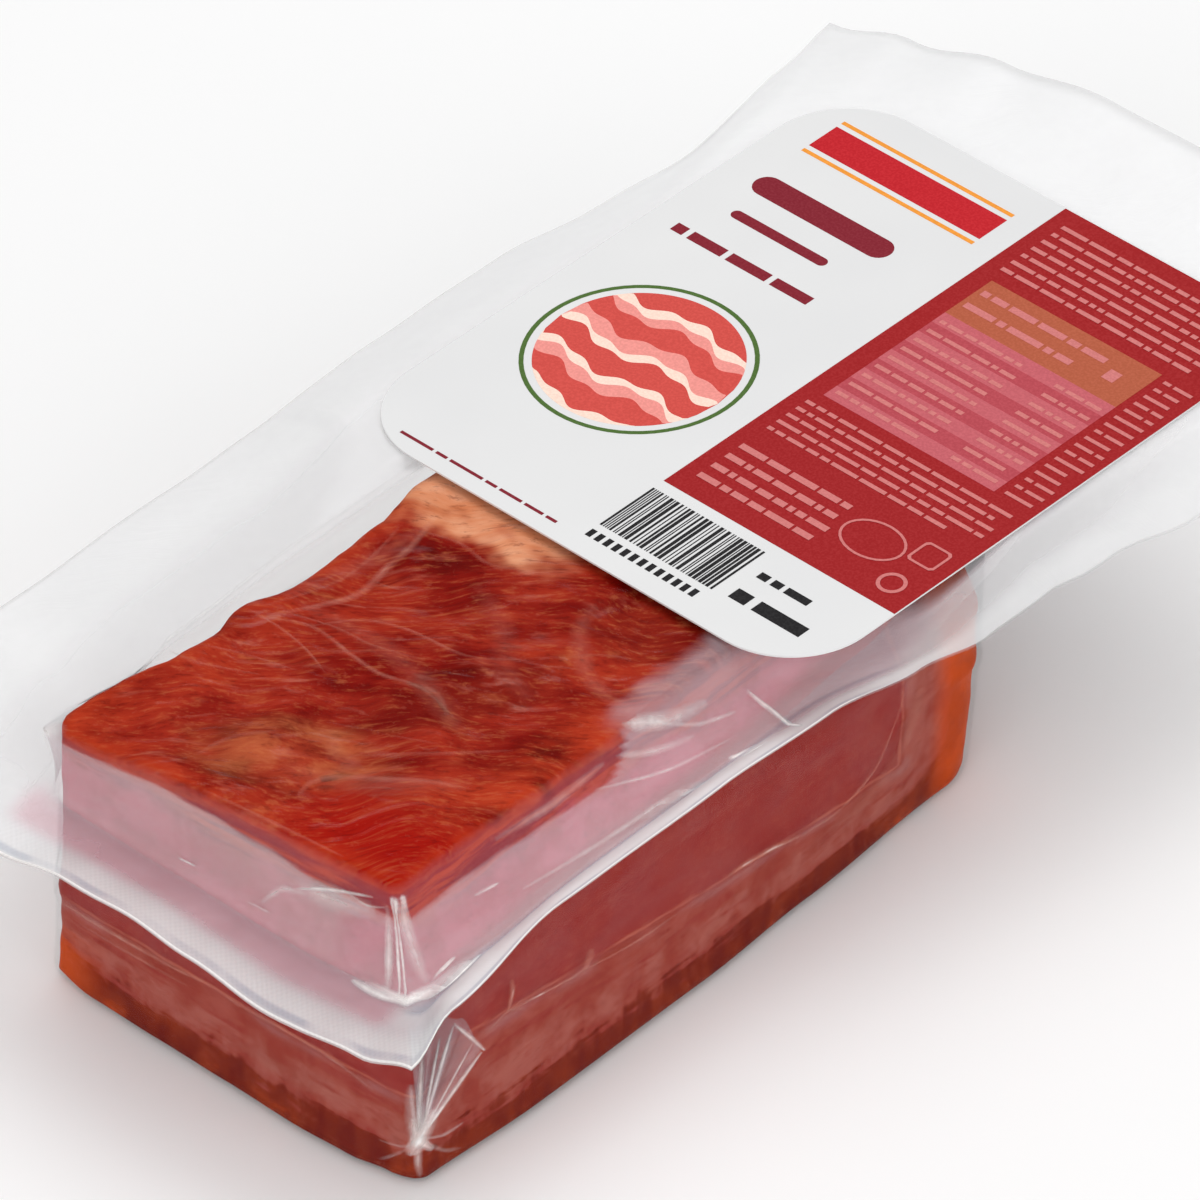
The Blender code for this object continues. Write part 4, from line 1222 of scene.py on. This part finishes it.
class LabelPrint:
    """Flat shapes of one ink, as thin closed plates on the label."""

    def __init__(self, name, lift):
        self.name = name
        self.low = lift
        self.high = lift + 0.025
        self.vertices = []
        self.faces = []

    def shape(self, points):
        """Add a convex or simple outline given anticlockwise in millimetres from the label's centre."""
        start = len(self.vertices)
        count = len(points)
        for height in (self.low, self.high):
            self.vertices += [on_paper(across, length, height) for across, length in points]
        self.faces.append(tuple(start + i for i in reversed(range(count))))
        self.faces.append(tuple(start + count + i for i in range(count)))
        for i in range(count):
            k = (i + 1) % count
            self.faces.append((start + i, start + k, start + count + k, start + count + i))

    def bar(self, left, right, low, high):
        """Add a bar by its edges as shares of the label's width and length."""
        corners = ((left, low), (right, low), (right, high), (left, high))
        self.shape([from_shares(across, length) for across, length in corners])

    def ring(self, centre, radius_x, radius_y, width, count=28, power=2.0):
        """Add a closed line round an oval, or round a square at a high power."""
        def rim(turn, scale):
            c, s = cos(turn), sin(turn)
            reach = (abs(c) ** power + abs(s) ** power) ** (-1.0 / power)
            return (centre[0] + c * reach * (radius_x - scale), centre[1] + s * reach * (radius_y - scale))
        for step in range(count):
            start, end = step / count * 2 * pi, (step + 1) / count * 2 * pi
            self.shape([rim(start, width), rim(start, 0.0), rim(end, 0.0), rim(end, width)])

    def bar_rows(self, left, right, low, high, rows, random, size=0.46, letter=0.0062):
        """Add rows of plain bars of uneven length."""
        pitch = (high - low) / rows
        for row in range(rows):
            base = high - (row + 1) * pitch + pitch * (1.0 - size) / 2
            end = right - random.uniform(0.0, 0.16) * (right - left) * (row == rows - 1)
            place = left
            while place < end - 2 * letter:
                reach = min(random.randint(2, 9) * letter, end - place)
                self.bar(place, place + reach, base, base + pitch * size * 0.8)
                place += reach + letter * 0.9

    def finish(self, material):
        piece = new_piece(self.name, self.vertices, self.faces, material)
        for polygon in piece.data.polygons:
            polygon.use_smooth = False
        return piece


def from_shares(across, length):
    """Millimetres from the label's centre of shares of its width, from the left, and its length."""
    return (across - 0.5) * LABEL_WIDTH, (length - 0.5) * LABEL_LENGTH


def on_paper(across, length, lift):
    """Place of a point of the label, lifted above the paper's underside."""
    turn = Matrix.Rotation(radians(LABEL_TURN), 3, "Z") @ Matrix.Rotation(radians(LABEL_RISE), 3, "X")
    base = plate_height(*LABEL_CENTRE) + LABEL_GAP
    centre = Vector((LABEL_CENTRE[0], LABEL_CENTRE[1], base))
    return in_row(centre + turn @ Vector((across, length, lift)))


def settle(piece, node):
    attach(piece, "root")
    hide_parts(node)


def colour_property(name, description, red, green, blue):
    return FloatVectorProperty(name=name, description=description, subtype="COLOR", size=3,
                               min=0.0, max=1.0, default=paint(red, green, blue))


class PackSizes(bpy.types.PropertyGroup):
    """Sizes that a user would change."""

    film_thickness: FloatProperty(name="Film thickness", description="Thickness of each film",
                                  default=0.12 * MM, unit="LENGTH")
    paper_thickness: FloatProperty(name="Label thickness", description="Thickness of the label's paper",
                                   default=0.25 * MM, unit="LENGTH")
    camera_distance: FloatProperty(name="Camera distance", description="From the camera to the pack",
                                   default=1.4809, unit="LENGTH")


class PackColours(bpy.types.PropertyGroup):
    """Colours that a user would change."""

    smoked: colour_property("Smoked meat", "Darkest parts of the top", 88, 4, 2)
    lean_dark: colour_property("Dark lean", "Dark lean meat of the top", 126, 14, 6)
    lean: colour_property("Lean", "Lean meat of the top", 156, 38, 22)
    lean_bright: colour_property("Bright lean", "Lightest lean meat, at the edges", 184, 58, 30)
    lean_red: colour_property("Red lean", "Clear red lean meat at the front corner", 162, 14, 2)
    # Also the painted highlight line of the film's ledge on the sides.
    fat_streak_and_ledge_highlight: colour_property("Fat streaks", "Thin streaks on the top", 200, 112, 90)
    fat: colour_property("Fat", "Patches of fat", 236, 170, 132)
    fat_orange: colour_property("Smoked fat", "Smoked parts of the fat", 212, 122, 76)
    lean_pink: colour_property("Pink side", "Upper side behind the milky film", 198, 88, 104)
    lean_rose: colour_property("Rose side", "Darker parts of the upper side", 180, 66, 76)
    lean_mauve: colour_property("Mauve streaks", "Streaks below the top edge", 150, 46, 54)
    lean_edge: colour_property("Side edge", "Side just below the top edge", 188, 70, 52)
    lean_side: colour_property("Side lean", "Lean layers of the sides", 156, 62, 54)
    lean_deep: colour_property("Deep lean", "Deep red upper layer of the sides", 146, 44, 40)
    band_brown: colour_property("Brown band", "Brown layer below the ledge", 150, 58, 45)
    band_mauve: colour_property("Mauve band", "Paler parts of the brown layer", 162, 76, 64)
    band_pale: colour_property("Pale band", "Soft pale line along the brown layer", 176, 104, 92)
    band_rust: colour_property("Rust band", "Lighter strokes of the dark layer", 142, 50, 20)
    smoked_side: colour_property("Smoked side", "Dark layer above the skin", 108, 20, 6)
    rind: colour_property("Skin", "Smoked skin along the foot", 210, 78, 14)
    film_tint: colour_property("Film tint", "Film with little haze", 234, 232, 234)
    film_rosy: colour_property("Rosy film", "Frosted film beside the meat", 232, 214, 222)
    film_pink: colour_property("Pink film", "Start of the sealed rim in front", 236, 194, 204)
    film_white: colour_property("Milky film", "Sealed film", 250, 250, 251)
    # Painted shade of the film beside the cut edge and along the rim's inner side.
    film_shade: colour_property("Film shade", "Line beside the cut edge", 176, 186, 204)
    # Painted highlight colour of faint creases over the meat.
    crease_highlight_tint: colour_property("Crease tint", "Faint creases over the meat", 224, 146, 126)
    # Painted highlight of folds, creases and the cut edge.
    fold_highlight: colour_property("Film folds", "Folds that catch the light", 252, 248, 246)
    paper: colour_property("Paper", "Label paper", 228, 228, 228)
    paper_shade: colour_property("Paper shade", "Cockled parts of the paper", 222, 222, 223)
    panel: colour_property("Panel", "Red field of the label", 156, 20, 24)
    rose: colour_property("Rows", "Rows of the table", 178, 68, 78)
    rose_light: colour_property("Light rows", "Every second row of the table", 192, 92, 100)
    head: colour_property("Table head", "Band at the head of the table", 176, 88, 60)
    fine_bars: colour_property("Fine bars", "Rows of fine bars on the panel", 204, 118, 116)
    black: colour_property("Black ink", "Bars of the code", 26, 24, 26)
    band: colour_property("Band", "Red band at the label's head", 190, 22, 34)
    stripes: colour_property("Stripes", "Thin stripes beside the band", 236, 150, 52)
    wine: colour_property("Wine red", "Round bars below the band", 128, 24, 40)
    streak_lean: colour_property("Red streaks", "Red streaks of the printed disc", 205, 74, 66)
    streak_pink: colour_property("Pink streaks", "Pink streaks of the printed disc", 234, 146, 138)
    streak_fat: colour_property("Pale streaks", "Pale streaks of the printed disc", 248, 216, 200)
    ring: colour_property("Ring", "Green ring round the disc", 74, 104, 44)


class BaconOperator:
    """What all steps of the pack share."""

    bl_options = {"REGISTER", "UNDO"}

    @property
    def sizes(self):
        return bpy.context.scene.bacon_sizes

    @property
    def colours(self):
        return bpy.context.scene.bacon_colours

    def execute(self, context):
        self.build(context)
        return {"FINISHED"}


class BACON_OT_block(BaconOperator, bpy.types.Operator):
    """Build the block of smoked meat"""

    bl_idname = "bacon.block"
    bl_label = "Bacon Block"

    def build(self, context):
        rings = meat_points()
        piece = loft("bacon_block", rings, make_meat_material(self.colours), True, True)
        count = len(rings[0])
        upper, rim = [], []
        for row in range(len(rings)):
            upper += [1.0 - smooth(row, TOP_RINGS - 1, TOP_RINGS + 1)] * count
            rim += [smooth(row, TOP_RINGS - 4, TOP_RINGS - 1)] * count
        give_values(piece, "upper", upper)
        give_values(piece, "rim", rim)
        give_values(piece, "depth", [band_depth(y, z) for ring in rings for x, y, z in ring])
        give_values(piece, "above", [z - seal_height(x, y) for ring in rings for x, y, z in ring])
        settle(piece, "sealed_pouch")


class BACON_OT_lower_film(BaconOperator, bpy.types.Operator):
    """Build the formed lower film with its pocket"""

    bl_idname = "bacon.lower_film"
    bl_label = "Lower Film"

    def build(self, context):
        material = make_film_material("formed_film", self.colours, 0.6)
        film_piece("lower_film", lower_film_points(), material, False, True, self.sizes.film_thickness)


class BACON_OT_upper_film(BaconOperator, bpy.types.Operator):
    """Build the upper film with its tent, folds and sealed rim"""

    bl_idname = "bacon.upper_film"
    bl_label = "Upper Film"

    def build(self, context):
        material = make_film_material("top_film", self.colours, 1.0)
        film_piece("upper_film", upper_film_points(), material, True, False, self.sizes.film_thickness)


class BACON_OT_pleat(BaconOperator, bpy.types.Operator):
    """Build the clear pleat that the films leave below the front right corner"""

    bl_idname = "bacon.pleat"
    bl_label = "Corner Pleat"

    def build(self, context):
        rows = pleat_points()
        count = len(rows[0])
        vertices = [in_row(point.place) for row in rows for point in row]
        faces = [(row * count + i, row * count + i + 1, (row + 1) * count + i + 1, (row + 1) * count + i)
                 for row in range(len(rows) - 1) for i in range(count - 1)]
        material = make_film_material("pleat_film", self.colours, 1.0)
        piece = new_piece("corner_pleat", vertices, faces, material)
        finish_film(piece, rows, self.sizes.film_thickness)


class BACON_OT_crease_highlights(BaconOperator, bpy.types.Operator):
    """Build the narrow painted highlights along the creases that lie on the films"""

    bl_idname = "bacon.creases"
    bl_label = "Film Creases"

    def build(self, context):
        vertices, faces, points = [], [], []
        for rows in all_crease_highlights():
            start = len(vertices)
            points += [point for row in rows for point in row]
            vertices += [in_row(point.place) for row in rows for point in row]
            count = len(CREASE_PROFILE)
            corners = [start + row * count + i for row in range(len(rows) - 1) for i in range(count - 1)]
            faces += [(corner, corner + 1, corner + count + 1, corner + count) for corner in corners]
        piece = new_piece("film_crease_highlights", vertices, faces, make_crease_highlight_material(self.colours))
        give_values(piece, "haze", [point.haze for point in points])
        give_values(piece, "gleam", [point.gleam for point in points])
        settle(piece, "sealed_pouch")


class BACON_OT_label(BaconOperator, bpy.types.Operator):
    """Build the label's sheet of coated paper"""

    bl_idname = "bacon.label"
    bl_label = "Label"

    def build(self, context):
        half_width, half_length = LABEL_WIDTH / 2, LABEL_LENGTH / 2
        outline = []
        for corner, (side, end) in enumerate(((1, -1), (1, 1), (-1, 1), (-1, -1))):
            for step in range(17):
                turn = (corner - 1) * pi / 2 + step / 16 * pi / 2
                outline.append((side * (half_width - LABEL_CORNER) + LABEL_CORNER * cos(turn),
                                end * (half_length - LABEL_CORNER) + LABEL_CORNER * sin(turn)))
        paper = LabelPrint("label_paper", 0.0)
        paper.high = self.sizes.paper_thickness / MM
        paper.shape(outline)
        piece = paper.finish(make_paper_material(self.colours))
        settle(piece, "label")


class BACON_OT_print(BaconOperator, bpy.types.Operator):
    """Print the label with plain fields, bars and a streaked disc"""

    bl_idname = "bacon.print"
    bl_label = "Label Print"

    def build(self, context):
        random = Random(11)
        paper = self.sizes.paper_thickness / MM
        inks = {}

        def ink(name, colour, layer):
            inks[name] = (LabelPrint("print_" + name, paper + 0.03 * layer), colour)
            return inks[name][0]

        colours = self.colours
        panel = ink("panel", colours.panel, 0)
        panel.bar(0.50, 1.0, 0.19, 0.999)
        rose = ink("rows", colours.rose, 1)
        light = ink("light_rows", colours.rose_light, 1)
        head = ink("table_head", colours.head, 1)
        left, right, foot, top = 0.54, 0.91, 0.47, 0.715
        head.bar(left, right, top, 0.81)
        rows = 9
        for row in range(rows):
            low = foot + (top - foot) * row / rows
            (rose if row % 2 else light).bar(left, right, low, low + (top - foot) / rows)
        small = ink("fine_bars", colours.fine_bars, 2)
        small.bar_rows(0.53, 0.975, 0.83, 0.975, 7, random)
        small.bar_rows(0.55, 0.74, 0.475, 0.71, 9, random, size=0.36)
        small.bar_rows(0.80, 0.90, 0.475, 0.71, 9, random, size=0.36)
        small.bar_rows(0.55, 0.82, 0.73, 0.80, 2, random, size=0.42, letter=0.008)
        small.bar_rows(0.84, 0.90, 0.73, 0.80, 1, random, size=0.4, letter=0.012)
        small.bar_rows(0.53, 0.975, 0.36, 0.455, 5, random)
        small.bar_rows(0.53, 0.78, 0.22, 0.33, 4, random, size=0.5)
        small.bar_rows(0.925, 0.985, 0.47, 0.81, 17, random, size=0.4, letter=0.0075)
        small.ring(from_shares(0.85, 0.285), 4.6, 3.4, 0.35)
        small.ring(from_shares(0.945, 0.31), 2.1, 2.1, 0.35, power=9.0)
        small.ring(from_shares(0.945, 0.235), 1.9, 1.9, 0.5)
        black = ink("black", colours.black, 0)
        place = 0.50
        while place < 0.742:
            width = random.choice((0.0022, 0.0022, 0.0044, 0.0066))
            black.bar(place, place + width, 0.065, 0.17)
            place += width + random.choice((0.0022, 0.0022, 0.0044))
        for step in range(13):
            start = 0.50 + 0.242 * step / 13
            black.bar(start, start + 0.011, 0.036, 0.052)
        black.bar_rows(0.775, 0.945, 0.068, 0.098, 1, random, size=0.95, letter=0.017)
        black.bar_rows(0.775, 0.905, 0.122, 0.142, 1, random, size=0.85, letter=0.010)
        self.print_bars(ink, random)
        self.print_disc(ink)
        for name, (shapes, colour) in inks.items():
            piece = shapes.finish(make_ink_material("ink_" + name, tuple(colour)))
            settle(piece, "label")

    def print_bars(self, ink, random):
        """A red band with thin stripes, and plain bars below it."""
        stripes = ink("stripes", self.colours.stripes, 0)
        band = ink("band", self.colours.band, 0)
        band.bar(0.07, 0.45, 0.868, 0.925)
        for low in (0.852, 0.934):
            stripes.bar(0.07, 0.45, low, low + 0.007)
        wine = ink("wine_bars", self.colours.wine, 0)
        for start, end, low, high in ((0.07, 0.37, 0.738, 0.782), (0.10, 0.31, 0.676, 0.694)):
            self.pill(wine, from_shares(start, low), from_shares(end, high))
        wine.bar_rows(0.055, 0.365, 0.598, 0.624, 1, random, size=0.9, letter=0.0125)
        wine.bar_rows(0.10, 0.46, 0.024, 0.036, 1, random, size=0.55, letter=0.008)

    @staticmethod
    def pill(shapes, low, high):
        """Add a bar with round ends between two corners."""
        radius = (high[1] - low[1]) / 2
        middle = (high[1] + low[1]) / 2
        outline = []
        for centre, start in ((high[0] - radius, -pi / 2), (low[0] + radius, pi / 2)):
            for step in range(13):
                turn = start + step / 12 * pi
                outline.append((centre + radius * cos(turn), middle + radius * sin(turn)))
        shapes.shape(outline)

    def print_disc(self, ink):
        """A plain disc of wavy streaks within a thin ring."""
        colours = self.colours
        streaks = [ink("streak_lean", colours.streak_lean, 0), ink("streak_pink", colours.streak_pink, 0),
                   ink("streak_fat", colours.streak_fat, 0)]
        centre = from_shares(0.255, 0.36)
        radius = 13.0
        edges = [(-14.0, 2), (-11.2, 0), (-7.4, 1), (-5.6, 2), (-4.4, 0), (-0.6, 2), (0.6, 1), (2.8, 0),
                 (6.2, 1), (7.6, 2), (9.0, 0), (14.0, 0)]
        for (low, layer), (high, _) in zip(edges, edges[1:]):
            for step in range(64):
                corners = []
                for x, side in ((step, low), (step + 1, low), (step + 1, high), (step, high)):
                    x = -radius + x / 64 * 2 * radius
                    wave = 0.9 * sin(x * 0.42 + side * 0.15) + 0.4 * sin(x * 1.1 + side * 1.3)
                    reach = sqrt(max(0.0, radius * radius - x * x))
                    corners.append((centre[0] + x, centre[1] + min(reach, max(-reach, side + wave))))
                if corners[2][1] - corners[1][1] + corners[3][1] - corners[0][1] > 0.02:
                    streaks[layer].shape(corners)
        ink("ring", colours.ring, 0).ring(centre, radius + 1.6, radius + 1.6, 0.6, count=64)


class BACON_OT_stage(BaconOperator, bpy.types.Operator):
    """Set up the pale floor, the soft lights and the camera"""

    bl_idname = "bacon.stage"
    bl_label = "Stage"

    AZIMUTH = 41.68
    ELEVATION = 38.26
    AIM = (-28.6, 47.45, 0.0)     # where the camera's axis meets the floor

    def build(self, context):
        scene = context.scene
        self.make_floor(scene)
        self.make_lights(scene)
        self.make_camera(scene)
        scene.view_settings.view_transform = "Standard"
        scene.view_settings.look = "None"

    def make_floor(self, scene):
        half, low = 3.0, -0.0002
        corners = [(-half, -half, low), (half, -half, low), (half, half, low), (-half, half, low)]
        graph = Graph("pale_floor")
        graph.set(Base_Color=(0.95, 0.95, 0.95), Roughness=0.9, Specular_IOR_Level=0.0)
        floor = new_piece("floor", corners, [(0, 1, 2, 3)], graph.material)

    def make_lights(self, scene):
        scene.world = scene.world or bpy.data.worlds.new("Studio")
        scene.world.use_nodes = True
        background = scene.world.node_tree.nodes["Background"]
        background.inputs["Color"].default_value = (1.0, 1.0, 1.0, 1.0)
        background.inputs["Strength"].default_value = 0.5
        for name, place, size, power in (("overhead", (-0.25, 0.45, 1.1), 0.9, 6.0),
                                         ("front_fill", (0.35, -1.0, 0.7), 0.9, 5.0),
                                         ("right_fill", (1.1, -0.1, 0.6), 0.8, 3.0)):
            light = bpy.data.lights.new(name, "AREA")
            light.shape = "SQUARE"
            light.size = size
            light.energy = power
            lamp = bpy.data.objects.new(name, light)
            lamp.location = place
            lamp.rotation_euler = (-Vector(place)).to_track_quat("-Z", "Y").to_euler()
            scene.collection.objects.link(lamp)

    def make_camera(self, scene):
        lens = bpy.data.cameras.new("photo_camera")
        lens.lens = 360.0
        lens.sensor_width = 36.0
        lens.clip_end = 20.0
        camera = bpy.data.objects.new("photo_camera", lens)
        turn, tilt = radians(self.AZIMUTH), radians(self.ELEVATION)
        back = Vector((sin(turn) * cos(tilt), -cos(turn) * cos(tilt), sin(tilt)))
        camera.location = in_row(self.AIM) + back * self.sizes.camera_distance
        camera.rotation_euler = (pi / 2 - tilt, 0.0, turn)
        scene.collection.objects.link(camera)
        scene.camera = camera


STEPS = (BACON_OT_block, BACON_OT_lower_film, BACON_OT_upper_film, BACON_OT_pleat, BACON_OT_crease_highlights,
         BACON_OT_label, BACON_OT_print, BACON_OT_stage)


class BACON_PT_panel(bpy.types.Panel):
    """Steps of the bacon pack"""

    bl_label = "Bacon Pack"
    bl_idname = "BACON_PT_panel"
    bl_space_type = "VIEW_3D"
    bl_region_type = "UI"
    bl_category = "Bacon Pack"

    def draw(self, context):
        for step in STEPS:
            self.layout.operator(step.bl_idname)
        for name in PackSizes.__annotations__:
            self.layout.prop(context.scene.bacon_sizes, name)
        for name in PackColours.__annotations__:
            self.layout.prop(context.scene.bacon_colours, name)


CLASSES = (PackSizes, PackColours, *STEPS, BACON_PT_panel)


def register():
    for cls in CLASSES:
        bpy.utils.register_class(cls)
    bpy.types.Scene.bacon_sizes = PointerProperty(type=PackSizes)
    bpy.types.Scene.bacon_colours = PointerProperty(type=PackColours)


def unregister():
    del bpy.types.Scene.bacon_colours
    del bpy.types.Scene.bacon_sizes
    for cls in reversed(CLASSES):
        bpy.utils.unregister_class(cls)


def main():
    register()
    bpy.ops.bacon.block()
    bpy.ops.bacon.lower_film()
    bpy.ops.bacon.upper_film()
    bpy.ops.bacon.pleat()
    bpy.ops.bacon.creases()
    bpy.ops.bacon.label()
    bpy.ops.bacon.print()
    bpy.ops.bacon.stage()


if __name__ == "__main__":
    main()
